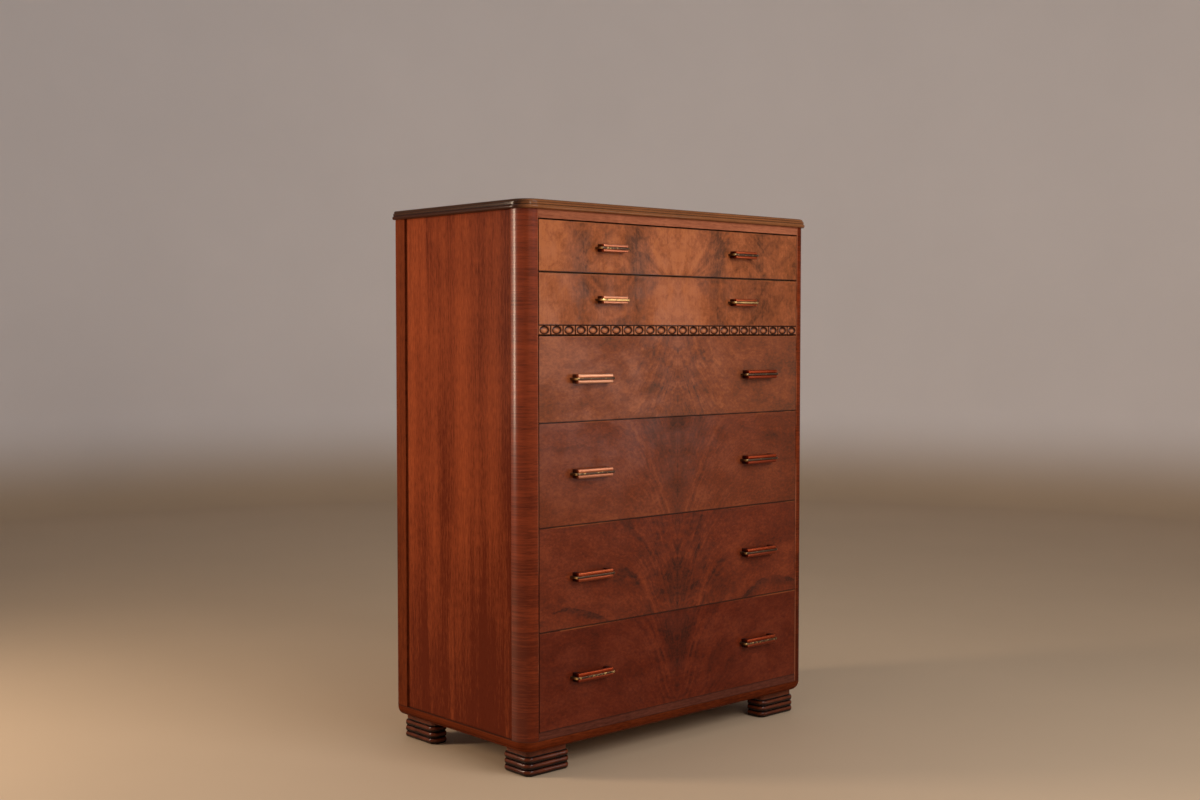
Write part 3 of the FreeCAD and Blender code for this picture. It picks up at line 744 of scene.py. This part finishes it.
def top_finish(look):
    """Banded veneer on the flat of the top, and dark stain on its edge, golden brown along the front, partly
    wear and partly painted light, with painted shade in the grooves and on the lower part of the nose."""
    finish = Finish("top_veneer")
    low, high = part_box("top_board")
    nose_low, nose_high = low.z + 0.006, low.z + 0.012
    unworn, full_wear = FRONT_Y + 0.018, FRONT_Y - 0.003
    lip_low, lip_high = high.z - 0.002, high.z - 0.0004
    flat_low, flat_high = high.z - 0.0005, high.z - 0.0001
    x, y, z = finish.x, finish.y, finish.z
    line = finish.grain(x, y + z, 11.0, 5.0, 260.0, 4.0, 0.6)
    speck = finish.grain(x, y + z, 13.0, 60.0, 300.0, 3.0, 0.65)
    patch = finish.noise(finish.place, 4.0, 0.6, scale=9.0)

    depth = line * 0.5 + speck * 0.3 + patch * 0.2
    stained = finish.ramp(depth, (0.3, look.top_dark), (0.7, look.top_light))
    golden = finish.ramp(depth, (0.3, look.top_front_worn_and_lit_dark), (0.7, look.top_front_worn_and_lit))
    # Painted shade on the lower part of the nose.
    under = finish.smooth(z, nose_high, nose_low)
    stained = finish.blend(under * 0.7, stained, look.foot_stain)
    # Golden along the front: partly wear, partly painted light on the lit front edge.
    worn = finish.smooth(y + patch.swing(0.02), unworn, full_wear) * finish.smooth(z, lip_high, lip_low)
    colour = finish.blend(worn, stained, golden)
    # Painted shade in the fine grooves.
    colour = finish.blend(finish.attribute("hollow") * 0.85, colour, look.stain_and_shade_dark)

    band = finish.grain(x, y + patch.swing(0.01), 15.0, 0.8, 22.0, 4.0, 0.6)
    flat = finish.ramp(band * 0.55 + line * 0.3 + speck * 0.15, (0.3, look.top_flat_dark),
                       (0.7, look.top_flat))
    colour = finish.blend(finish.smooth(z, flat_low, flat_high), colour, flat)
    return finish.complete(colour, patch * 0.2 + 0.22, line, depth=0.0002, strength=0.2,
                           specular_ior_level=0.02, coat_weight=0.25, coat_roughness=0.08)


def bare_wood(name, look, along, across, seed, tone):
    """Unvarnished wood inside the chest: soft grain lines, faint darker streaks and patches of dirt."""
    finish = Finish(name)
    light = [c * t for c, t in zip(look.bare_light, tone)]
    dark = [c * t for c, t in zip(look.bare_dark, tone)]
    run, cross = getattr(finish, along), getattr(finish, across)
    line = finish.grain(run, cross, seed, 6.0, 190.0)
    streak = finish.grain(run, cross, seed + 2.0, 1.5, 26.0, 2.0)
    dirt = finish.noise(finish.place, 4.0, 0.6, scale=14.0)
    colour = finish.ramp(line * 0.5 + streak * 0.5, (0.25, dark), (0.7, light))
    colour = finish.blend(finish.smooth(dirt, 0.5, 0.75) * 0.35, colour, [c * 0.45 for c in dark])
    return finish.complete(colour, 0.75, line, depth=0.0003, strength=0.3)


def foot_finish(look):
    """Dark in the hollows of the reeds, partly stain and partly painted shade, lighter on their upper sides,
    partly wood worn through and partly painted light.
    """
    finish = Finish("reed_stain")
    crest = finish.attribute("crest")
    line = finish.noise(finish.vector(finish.x * 60.0, finish.y * 60.0, finish.z * 420.0), 3.0)
    patch = finish.noise(finish.place, 4.0, 0.6, scale=28.0)
    worn = finish.smooth(crest + patch.swing(0.5), 0.50, 1.10) + line.swing(0.3)
    colour = finish.ramp(worn, (0.0, look.stain_and_shade_dark), (0.45, look.foot_stain), (1.0, look.foot_worn))
    # Painted shade deepest at the bottom of each groove.
    colour = finish.blend(finish.smooth(crest, 0.10, 0.01) * 0.8, colour, look.stain_and_shade_dark)
    return finish.complete(colour, patch * 0.15 + 0.16, line, depth=0.0003, strength=0.25,
                           specular_ior_level=0.06, coat_weight=0.25, coat_roughness=0.10)


def carved_finish(look):
    """Dark in the sunk parts of the carving, partly glaze and partly painted shade, rubbed off the raised
    parts, and darker towards the right as painted shade.
    """
    finish = Finish("carved_glaze")
    line = finish.grain(finish.x, finish.z, 4.0, 20.0, 420.0)
    patch = finish.noise(finish.place, 3.0, scale=60.0)
    # The value raised holds painted shade, and painted shade darkens the right end.
    rubbed = (finish.attribute("raised") + patch.swing(0.25) + line.swing(0.2)
              - finish.smooth(finish.x, -0.1, 0.42) * 0.16)
    colour = finish.ramp(rubbed, (0.08, look.carved_sunk_glaze_and_shade), (0.38, look.carved_middle),
                         (0.95, look.carved_light))
    return finish.complete(colour, patch * 0.2 + 0.30, line, depth=0.0002, strength=0.25,
                           specular_ior_level=0.2)


def pull_finish(number, look):
    """Copper-washed brass, brighter or redder by pull, partly patina and partly painted reflection, and
    darker below as painted shade; the strap is bronzed and, to a degree, worn to brass, with a painted glint
    at its corners, and all of it darkens towards the drawer as painted shade."""
    finish = Finish(f"pull_metal_{number}")
    low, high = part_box(f"drawer_{number}_pulls")
    left, right = PULL_TONES_AND_PAINTED_REFLECTION[number]
    middle, lower_rib = (low.z + high.z) / 2, (low.z + high.z) / 2 - 0.004
    strap_face, strap_corner = low.y + 0.0006, low.y + 0.002
    end_shade_from, end_shade_behind = low.y + 0.003, low.y + 0.012
    x, y, z = finish.x, finish.y, finish.z
    patch = finish.noise(finish.vector(x, y * 0.6, z), 5.0, 0.65, scale=130.0)
    brushed = finish.noise(finish.vector(x * 30.0, y * 30.0, z * 500.0), 3.0)
    on_right = finish.smooth(x, -0.1, 0.1)
    # Painted shade on the lower part of the pull, deeper on the lower drawers.
    under = finish.smooth(z, middle, lower_rib)
    tone = on_right * (right - left) + left + patch.swing(0.25) + brushed.swing(0.2) - under * 0.06
    copper = finish.ramp(tone, (0.0, look.copper_dark), (0.4, look.copper_red), (1.0, look.copper))
    copper = finish.blend(under * number * 0.07, copper, look.pull_painted_shade)
    # Brass where the strap turns its corners: partly wear, partly a painted glint; less on the right pulls.
    corner = finish.smooth(y, strap_face, strap_corner) * 0.25
    worn = finish.smooth(patch + STRAP_WEAR[number] + corner, 0.52, 0.72) * (1.0 - on_right * 0.4)
    bronze = finish.blend(worn, look.bronze, look.brass)
    colour = finish.blend(finish.attribute("strap"), copper, bronze)
    # Painted shade towards the drawer.
    end_painted_shade = finish.smooth(y, end_shade_from, end_shade_behind)
    colour = finish.blend(end_painted_shade * 0.85, colour, look.pull_painted_shade)
    return finish.complete(colour, patch * 0.25 + 0.22 + end_painted_shade * 0.2, brushed, depth=0.0001, strength=0.2,
                           metallic=1.0)


def steel_finish(name, look, roughness):
    """Plain steel, duller in patches."""
    finish = Finish(name)
    patch = finish.noise(finish.place, 3.0, scale=300.0)
    return finish.complete(look.steel, patch * 0.3 + roughness, metallic=1.0)


def room_paint(stage):
    """Plain paint of the room: the floor's colour goes over into the wall's, with faint patches."""
    finish = Finish("room_paint")
    wall = finish.smooth(finish.z, 0.02, 0.5)
    shade = finish.noise(finish.place, 3.0, scale=1.3) * 0.10 + 0.95
    plain = finish.blend(wall, stage.floor_colour, stage.wall_colour)
    return finish.complete(finish.blend(1.0, plain, finish.vector(shade, shade, shade), "MULTIPLY"), 0.7)


# Settings: each function makes one kind from its label, its description and its default.


def tint(label, text, red, green, blue):
    return FloatVectorProperty(name=label, description=text, subtype="COLOR", size=3, min=0.0, max=1.0,
                               default=(red, green, blue))


def length(label, text, value):
    return FloatProperty(name=label, description=text, default=value, min=0.0, unit="LENGTH", precision=4)


def whole(label, text, value):
    return IntProperty(name=label, description=text, default=value, min=1)


def share(label, text, value):
    return FloatProperty(name=label, description=text, default=value, min=0.0, max=1.0, subtype="FACTOR")


def power(label, text, value):
    return FloatProperty(name=label, description=text, default=value, min=0.0, unit="POWER")


def degrees(label, text, value):
    return FloatProperty(name=label, description=text, default=math.radians(value), subtype="ANGLE")


class ChestForm(bpy.types.PropertyGroup):
    """Sizes of the finer forms, in metres."""

    corner_radius: length("Corner radius", "Radius of the rounded corner posts", 0.034)
    soft_edge: length("Soft edge", "Radius of the softened edges", 0.0012)
    nose_height: length("Nose height", "Height of the half-round nose of the top", 0.008)
    moulding_step: length("Moulding step", "How far each step of the top's edge stands back", 0.0026)
    groove: length("Groove", "Width and depth of the fine grooves in the top's edge", 0.0011)
    base_round: length("Base rounding", "Radius of the base's lower edge", 0.022)
    base_setback: length("Base setback", "How far the base ends before the back", 0.0003)
    foot_width: length("Foot width", "Width of a front foot along the front", 0.117)
    foot_wing: length("Foot wing", "Thickness of a foot's wings", 0.045)
    foot_corner: length("Foot corner", "Radius of a foot's corners", 0.016)
    neck_height: length("Neck height", "Height of the plain neck above the reeds", 0.0114)
    neck_hollow: length("Neck hollow", "Depth of the hollow round the neck", 0.0006)
    reeds: whole("Reeds", "Reeds on each foot", 3)
    reed_depth: length("Reed depth", "How far the reeds stand out", 0.0045)
    tiles: whole("Tiles", "Tiles of the carved band", 24)
    boss_half_width: length("Boss half width", "Half the width of a carved boss", 0.0107)
    boss_half_height: length("Boss half height", "Half the height of a carved boss", 0.0074)
    carve_depth: length("Carving depth", "Depth of the carving", 0.0032)
    parting_width: length("Parting width", "Half the width of the groove between tiles", 0.0016)
    band_margin: length("Band margin", "Width of the groove above and below the carving", 0.0014)
    small_pull: length("Small pull", "Length of the pulls of the shallow drawers", 0.083)
    large_pull: length("Large pull", "Length of the pulls of the deep drawers", 0.110)
    pull_end: length("Pull end", "Thickness of a pull's ends", 0.011)
    pull_grip: length("Pull grip", "Thickness of a pull's bar", 0.0085)
    rib_round: length("Rib rounding", "How far the edges of a pull's ribs fall back", 0.0010)
    strap_end: length("Strap end", "How far the strap stands out at a pull's ends", 0.0068)
    strap_corner: length("Strap corner", "Radius of the strap's corners", 0.007)
    strap_height: length("Strap height", "Height of the strap on a pull", 0.0045)
    strap_raise: length("Strap relief", "How far the strap stands out of a pull", 0.0018)
    bolt_radius: length("Bolt head radius", "Radius of the bolt heads inside the drawers", 0.0045)
    bolt_height: length("Bolt head height", "Height of the bolt heads inside the drawers", 0.003)
    pin_radius: length("Pin head radius", "Radius of the pins that hold the back", 0.0022)
    pin_height: length("Pin head height", "Height of the pins that hold the back", 0.0005)
    pin_margin: length("Pin margin", "Distance of the pins from the edge of the back", 0.008)
    pin_spacing: length("Pin spacing", "Distance between pins of the back", 0.11)


class ChestLook(bpy.types.PropertyGroup):
    """Colours of the finishes, and how strong some of their features are."""

    upper_light: tint("Upper veneer, light", "Light wood of the shallow fronts", 0.4, 0.124, 0.042)
    upper_middle: tint("Upper veneer, middle", "Middle tone of the shallow fronts", 0.265, 0.075, 0.025)
    upper_dark: tint("Upper veneer, dark", "Smoky wood of the shallow fronts", 0.1, 0.033, 0.013)
    lower_light: tint("Lower veneer, light", "Light wood of the deep fronts", 0.25, 0.053, 0.018)
    lower_middle: tint("Lower veneer, middle", "Middle tone of the deep fronts", 0.16, 0.031, 0.012)
    lower_dark: tint("Lower veneer, dark", "Heartwood of the deep fronts", 0.052, 0.018, 0.011)
    side_light: tint("Side panel, light", "Light bands of the side panels", 0.285, 0.061, 0.02)
    side_dark: tint("Side panel, dark", "Dark bands of the side panels", 0.1, 0.0178, 0.0075)
    stile_light: tint("Rear stiles, light", "Light lines of the rear stiles", 0.19, 0.04, 0.012)
    stile_dark: tint("Rear stiles, dark", "Dark lines of the rear stiles", 0.075, 0.014, 0.005)
    post_light: tint("Posts, light", "Light lines of the posts", 0.27, 0.045, 0.012)
    post_dark: tint("Posts, dark", "Dark lines of the posts", 0.1, 0.0154, 0.0048)
    # The top rail is coloured lighter than the bottom rail: painted light against the shade of the top's
    # overhang.
    rail_light: tint("Top rail, light", "Light lines of the top rail", 0.455, 0.158, 0.078)
    rail_dark: tint("Top rail, dark", "Dark lines of the top rail", 0.218, 0.066, 0.033)
    low_rail_light: tint("Bottom rail, light", "Light lines of the bottom rail", 0.146, 0.043, 0.025)
    low_rail_dark: tint("Bottom rail, dark", "Dark lines of the bottom rail", 0.052, 0.015, 0.01)
    base_light: tint("Base, light", "Light lines of the base", 0.2, 0.038, 0.01)
    base_dark: tint("Base, dark", "Dark lines of the base", 0.072, 0.013, 0.0045)
    top_light: tint("Top edge, light", "Light lines on the edge of the top", 0.068, 0.026, 0.012)
    top_dark: tint("Top edge, dark", "Dark lines on the edge of the top", 0.024, 0.01, 0.0055)
    top_flat: tint("Flat of the top, light", "Light bands on the flat of the top", 0.2, 0.062, 0.024)
    top_flat_dark: tint("Flat of the top, dark", "Dark bands on the flat of the top", 0.075, 0.022, 0.01)
    # These colours of the top's front edge are partly wear and partly painted light.
    top_front_worn_and_lit: tint("Worn top, light", "Light lines where the top is worn", 0.3, 0.112, 0.04)
    top_front_worn_and_lit_dark: tint("Worn top, dark", "Dark lines where the top is worn", 0.108, 0.038, 0.014)
    stain: tint("Edge stain", "Stain on the edges of the fronts", 0.1, 0.03, 0.014)
    stain_dark: tint("Rubbed dirt", "Dirt along edges and joints", 0.045, 0.016, 0.01)
    # Stain and painted shade: hollows of the reeds, grooves of the top, and the right post.
    stain_and_shade_dark: tint("Feet, hollows", "Stain in the hollows of the reeds", 0.01, 0.005, 0.004)
    foot_stain: tint("Feet, stain", "Stain on the sides of the reeds", 0.036, 0.009, 0.0045)
    foot_worn: tint("Feet, worn", "Wood that shows on the crests", 0.12, 0.026, 0.009)
    # The carving's dark colour is glaze and painted shade in the sunk parts.
    carved_sunk_glaze_and_shade: tint("Carving, glaze", "Glaze in the sunk parts", 0.03, 0.009, 0.004)
    carved_middle: tint("Carving, sides", "Sides of the bosses", 0.2, 0.055, 0.02)
    carved_light: tint("Carving, rubbed", "Rubbed parts of the carving", 0.54, 0.2, 0.088)
    bare_light: tint("Bare wood, light", "Light lines of unvarnished wood", 0.56, 0.38, 0.21)
    bare_dark: tint("Bare wood, dark", "Dark lines of unvarnished wood", 0.4, 0.25, 0.125)
    copper: tint("Copper", "Copper wash of the pulls", 0.82, 0.39, 0.23)
    copper_red: tint("Copper, red", "Half-bright copper of the pulls", 0.45, 0.095, 0.036)
    copper_dark: tint("Dull copper", "Dulled copper wash", 0.32, 0.045, 0.014)
    bronze: tint("Bronze", "Bronzed strap of the pulls", 0.1, 0.062, 0.042)
    # This dark bronze is painted shade: on the lower part of the pulls and towards the drawer.
    pull_painted_shade: tint("Dark bronze", "Bronze on the ends of the pulls", 0.042, 0.023, 0.018)
    brass: tint("Brass", "Brass where the strap is worn", 0.9, 0.6, 0.24)
    steel: tint("Steel", "Bolts and pins", 0.4, 0.37, 0.34)
    leaf_seam: length("Leaf seam", "Distance from a pull's outer end to the seam between two leaves", 0.0415)
    panel_seam: share("Panel seam", "How far back on a side panel its two leaves meet", 0.32)
    polish: share("Polish", "Weight of the clear coat on the drawer fronts", 0.12)
    hill_depth: share("Hill lines", "How dark the hill lines of the deep fronts are", 0.22)


class ChestStage(bpy.types.PropertyGroup):
    """Floor, lamps and camera."""

    floor_colour: tint("Floor", "Plain pale floor", 0.5, 0.37, 0.25)
    wall_colour: tint("Wall", "Plain wall of the round room", 0.9, 0.86, 0.87)
    air_colour: tint("Sky", "Light that comes in from above", 0.205, 0.2, 0.19)
    room_radius: length("Room radius", "Distance of the wall", 5.2)
    room_height: length("Room height", "Height of the wall", 4.6)
    front_power: power("Front lamp", "Power of the front lamp", 40.0)
    fill_power: power("Fill lamp", "Power of the lamp beside the camera", 10.0)
    low_power: power("Low lamp", "Power of the small low lamp", 8.0)
    side_power: power("Side lamp", "Power of the side lamp", 6.0)
    strip_power: power("Strip lamp", "Power of the tall strip lamp", 49.0)
    upper_power: power("Upper lamp", "Power of the upper lamp", 16.0)
    warm_colour: tint("Warm light", "Colour of the fill lamp and the strip lamp", 1.0, 0.8, 0.6)
    lens: FloatProperty(name="Lens", description="Focal length in millimetres", default=44.9, unit="CAMERA")
    camera_place: FloatVectorProperty(name="Camera place", description="Where the camera stands", size=3,
                                      default=(-2.3193, -2.5249, 0.9015), subtype="TRANSLATION")
    camera_tilt: degrees("Camera tilt", "How far the camera looks up from straight down", 87.49)
    camera_turn: degrees("Camera turn", "How far the camera is turned to the left", -42.12)


# Operators


class CHEST_OT_top(bpy.types.Operator):
    """Makes the moulded top"""

    bl_idname = "chest.top"
    bl_label = "Top"

    def execute(self, context):
        form = context.scene.chest_form
        look = context.scene.chest_look
        make_piece("moulded_top", top_shell(form), top_finish(look), "carcass", "top_veneer", "top_board")
        return {"FINISHED"}


class CHEST_OT_posts(bpy.types.Operator):
    """Makes the rounded corner posts"""

    bl_idname = "chest.posts"
    bl_label = "Corner posts"

    def execute(self, context):
        form = context.scene.chest_form
        look = context.scene.chest_look
        # The right post is a darker, duller copy of the left one: painted shade, as it faces away from the
        # light.
        for side, name, gloss, stain in ((1, "left", 0.40, 0.0), (-1, "right", 0.04, 0.35)):
            colours = [[light * (1 - stain) + dark * stain for light, dark in zip(*pair)] for pair in
                       ((look.post_light, look.post_dark), (look.post_dark, look.stain_and_shade_dark))]
            veneer = straight_veneer(f"{name}_post_veneer", look, "x", "z", colours, 21.0, bands=0.4,
                                     band_scale=26.0, gloss=gloss, lines=0.9, fall=0.35,
                                     worn_edge=OPENING_HALF)
            make_piece(f"{name}_round_post", post_shell(side, form), veneer, "carcass", "post_veneer",
                       f"{name}_front_post")
        return {"FINISHED"}


class CHEST_OT_case(bpy.types.Operator):
    """Finishes the panels, stiles, rails and the base"""

    bl_idname = "chest.case"
    bl_label = "Case"

    def execute(self, context):
        form = context.scene.chest_form
        look = context.scene.chest_look
        low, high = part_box("left_side_panel")
        panel = straight_veneer("side_veneer", look, "z", "y", (look.side_light, look.side_dark), 31.0,
                                gloss=0.02, fall=0.32, leaf_seam=low.y + (high.y - low.y) * look.panel_seam)
        dress(panel, "left_side_panel", "right_side_panel")
        stile = straight_veneer("stile_stain", look, "z", "y", (look.stile_light, look.stile_dark), 36.0,
                                gloss=0.02)
        dress(stile, "left_rear_post", "right_rear_post")
        # Painted light: the top rail is coloured lighter to undo the shade under the top's overhang.
        rail = straight_veneer("rail_veneer", look, "x", "z", (look.rail_light, look.rail_dark), 41.0)
        dress(rail, "top_front_rail")
        low_rail = straight_veneer("low_rail_stain", look, "x", "z",
                                   (look.low_rail_light, look.low_rail_dark), 47.0)
        dress(low_rail, "bottom_front_rail")
        base = straight_veneer("base_stain", look, "x", "z", (look.base_light, look.base_dark), 44.0,
                               gloss=0.02)
        make_piece("base_moulding", base_shell(form), base, "carcass", "case_veneer",
                   "base_front_moulding", "base_left_moulding", "base_right_moulding")
        return {"FINISHED"}


class CHEST_OT_band(bpy.types.Operator):
    """Makes the carved band"""

    bl_idname = "chest.band"
    bl_label = "Carved band"

    def execute(self, context):
        form = context.scene.chest_form
        look = context.scene.chest_look
        make_piece("carved_band", band_shell(form), carved_finish(look), "carcass", "carved_wood",
                   "carved_rail")
        return {"FINISHED"}


class CHEST_OT_feet(bpy.types.Operator):
    """Makes the reeded feet"""

    bl_idname = "chest.feet"
    bl_label = "Feet"

    def execute(self, context):
        form = context.scene.chest_form
        stain = foot_finish(context.scene.chest_look)
        for row, width in (("front", form.foot_width), ("rear", form.foot_wing)):
            low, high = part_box(f"{row}_feet")
            corners = foot_corners(high.y - low.y, width, form.foot_wing)
            shells = [foot_shell(corners, low, high, side, form) for side in (1, -1)]
            make_piece(f"{row}_reeded_feet", Shell.joined(shells), stain, "carcass", "foot_wood",
                       f"{row}_feet")
        return {"FINISHED"}


class CHEST_OT_fronts(bpy.types.Operator):
    """Veneers the drawer fronts"""

    bl_idname = "chest.fronts"
    bl_label = "Drawer fronts"

    def execute(self, context):
        for number in DRAWERS:
            veneer = fan_veneer if number < FIRST_DEEP else crotch_veneer
            dress(veneer(number, context.scene.chest_look), f"drawer_{number}_front")
        return {"FINISHED"}


class CHEST_OT_pulls(bpy.types.Operator):
    """Makes the pulls and the bolts that hold them"""

    bl_idname = "chest.pulls"
    bl_label = "Pulls"

    def execute(self, context):
        form = context.scene.chest_form
        look = context.scene.chest_look
        steel = steel_finish("bolt_steel", look, 0.3)
        for number in DRAWERS:
            low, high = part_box(f"drawer_{number}_pulls")
            size = form.small_pull if number < FIRST_DEEP else form.large_pull
            left_high, right_low = high.copy(), low.copy()
            left_high.x, right_low.x = low.x + size, high.x - size
            bars = [pull_shell(low, left_high, form), pull_shell(right_low, high, form)]
            make_piece(f"drawer_{number}_bar_pulls", Shell.joined(bars), pull_finish(number, look),
                       f"drawer_{number}", "pull_metal", f"drawer_{number}_pulls")
            inset, middle = form.strap_end + form.pull_end / 2, (low.z + high.z) / 2
            places = (low.x + inset, left_high.x - inset, right_low.x + inset, high.x - inset)
            heads = [stud_shell(x, FRONT_BACK_Y, middle, form.bolt_radius, form.bolt_height) for x in places]
            make_piece(f"drawer_{number}_bolts", Shell.joined(heads), steel, f"drawer_{number}", "pull_metal")
        return {"FINISHED"}


class CHEST_OT_inside(bpy.types.Operator):
    """Finishes the drawers' boxes, the runners and the back"""

    bl_idname = "chest.inside"
    bl_label = "Inside and back"

    def execute(self, context):
        form = context.scene.chest_form
        look = context.scene.chest_look
        sides = [f"drawer_{number}_{hand}_side" for number in DRAWERS for hand in ("left", "right")]
        backs = [f"drawer_{number}_back" for number in DRAWERS]
        bottoms = [f"drawer_{number}_bottom" for number in DRAWERS]
        runners = ["left_runners", "right_runners", "left_guides", "right_guides", "top_cleats"]
        rails = ["divider_rails", "rear_rails"]
        for name, along, across, seed, tone, nodes in (
                ("bare_side", "y", "z", 51.0, WHITE, sides),
                ("bare_back", "x", "z", 53.0, WHITE, backs),
                ("bare_ply", "x", "y", 55.0, (0.92, 0.86, 0.78), bottoms),
                ("bare_runner", "y", "x", 57.0, (0.82, 0.76, 0.70), runners),
                ("bare_rail", "x", "z", 59.0, (0.82, 0.76, 0.70), rails),
                ("back_ply", "z", "x", 61.0, (0.78, 0.66, 0.54), ["back_panel"])):
            dress(bare_wood(name, look, along, across, seed, tone), *nodes)
        low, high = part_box("back_panel")
        left, right = low.x + form.pin_margin, high.x - form.pin_margin
        foot, head = low.z + form.pin_margin, high.z - form.pin_margin
        rows = np.linspace(foot, head, round((high.z - low.z) / form.pin_spacing) + 1)
        columns = np.linspace(left, right, round((high.x - low.x) / form.pin_spacing) + 1)
        places = [(x, z) for x in (left, right) for z in rows]
        places += [(x, z) for z in (foot, head) for x in columns[1:-1]]
        pins = [stud_shell(x, high.y, z, form.pin_radius, form.pin_height) for x, z in places]
        steel = steel_finish("pin_steel", look, 0.4)
        make_piece("back_pins", Shell.joined(pins), steel, "carcass", "thin_ply")
        return {"FINISHED"}


class CHEST_OT_stage(bpy.types.Operator):
    """Makes the floor, the lamps and the camera"""

    bl_idname = "chest.stage"
    bl_label = "Stage"

    def execute(self, context):
        scene = context.scene
        stage = scene.chest_stage
        room = shell_object("round_room", room_shell(stage), room_paint(stage))
        front, corner = (0.0, FRONT_Y, 0.8), (-HALF_W, FRONT_Y, 1.05)
        warm = stage.warm_colour
        for name, place, target, width, height, energy, colour in (
                ("front_lamp", (0.15, -2.5, 2.0), (0.0, 0.0, 0.8), 1.3, 1.3, stage.front_power, WHITE),
                ("fill_lamp", (-1.3, -3.3, 1.5), (-0.3, FRONT_Y, 0.9), 0.4, 0.5, stage.fill_power, warm),
                ("low_lamp", (2.05, -2.7, 0.8), front, 0.8, 1.0, stage.low_power, WHITE),
                ("side_lamp", (-1.9, 0.6, 2.7), (-HALF_W, 0.0, 1.1), 1.2, 1.2, stage.side_power, WHITE),
                ("strip_lamp", (-2.27, 1.49, 1.15), corner, 0.5, 1.2, stage.strip_power, warm),
                ("upper_lamp", (-0.6, -1.4, 4.3), (0.0, 0.0, 0.0), 3.0, 3.0, stage.upper_power, WHITE)):
            self.lamp(name, place, target, width, height, energy, colour)
        world = bpy.data.worlds.new("surroundings")
        world.use_nodes = True
        background = world.node_tree.nodes["Background"]
        background.inputs["Color"].default_value = (*stage.air_colour, 1.0)
        scene.world = world
        camera = bpy.data.objects.new("camera", bpy.data.cameras.new("camera"))
        camera.data.lens = stage.lens
        camera.data.sensor_fit = "HORIZONTAL"
        camera.data.sensor_width = SENSOR_WIDTH
        camera.location = stage.camera_place
        camera.rotation_euler = (stage.camera_tilt, 0.0, stage.camera_turn)
        scene.collection.objects.link(camera)
        scene.camera = camera
        scene.view_settings.view_transform = "Standard"
        return {"FINISHED"}

    @staticmethod
    def lamp(name, place, target, width, height, energy, colour):
        """Rectangular lamp that faces a point."""
        light = bpy.data.lights.new(name, "AREA")
        light.shape = "RECTANGLE"
        light.size, light.size_y, light.energy, light.color = width, height, energy, colour
        lamp = bpy.data.objects.new(name, light)
        lamp.location = place
        aim = np.subtract(target, place)
        flat = math.hypot(aim[0], aim[1])
        lamp.rotation_euler = (math.atan2(flat, -aim[2]), 0.0, math.atan2(-aim[0], aim[1]))
        lamp.visible_camera = False
        bpy.context.scene.collection.objects.link(lamp)


class CHEST_PT_panel(bpy.types.Panel):
    """Lists the operators and settings of the chest"""

    bl_label = "Tall chest"
    bl_idname = "CHEST_PT_panel"
    bl_space_type = "VIEW_3D"
    bl_region_type = "UI"
    bl_category = "Chest"

    def draw(self, context):
        for operator in OPERATORS:
            self.layout.operator(operator.bl_idname)
        for name, group in GROUPS.items():
            for key in group.__annotations__:
                self.layout.prop(getattr(context.scene, name), key)


OPERATORS = (CHEST_OT_top, CHEST_OT_posts, CHEST_OT_case, CHEST_OT_band, CHEST_OT_feet, CHEST_OT_fronts,
             CHEST_OT_pulls, CHEST_OT_inside, CHEST_OT_stage)
GROUPS = {"chest_form": ChestForm, "chest_look": ChestLook, "chest_stage": ChestStage}


def register():
    for key, group in GROUPS.items():
        bpy.utils.register_class(group)
        setattr(bpy.types.Scene, key, PointerProperty(type=group))
    for item in (*OPERATORS, CHEST_PT_panel):
        bpy.utils.register_class(item)


def unregister():
    for item in (CHEST_PT_panel, *reversed(OPERATORS)):
        bpy.utils.unregister_class(item)
    for key, group in GROUPS.items():
        delattr(bpy.types.Scene, key)
        bpy.utils.unregister_class(group)


def main():
    register()
    bpy.ops.chest.top()
    bpy.ops.chest.posts()
    bpy.ops.chest.case()
    bpy.ops.chest.band()
    bpy.ops.chest.feet()
    bpy.ops.chest.fronts()
    bpy.ops.chest.pulls()
    bpy.ops.chest.inside()
    bpy.ops.chest.stage()


if __name__ == "__main__":
    main()
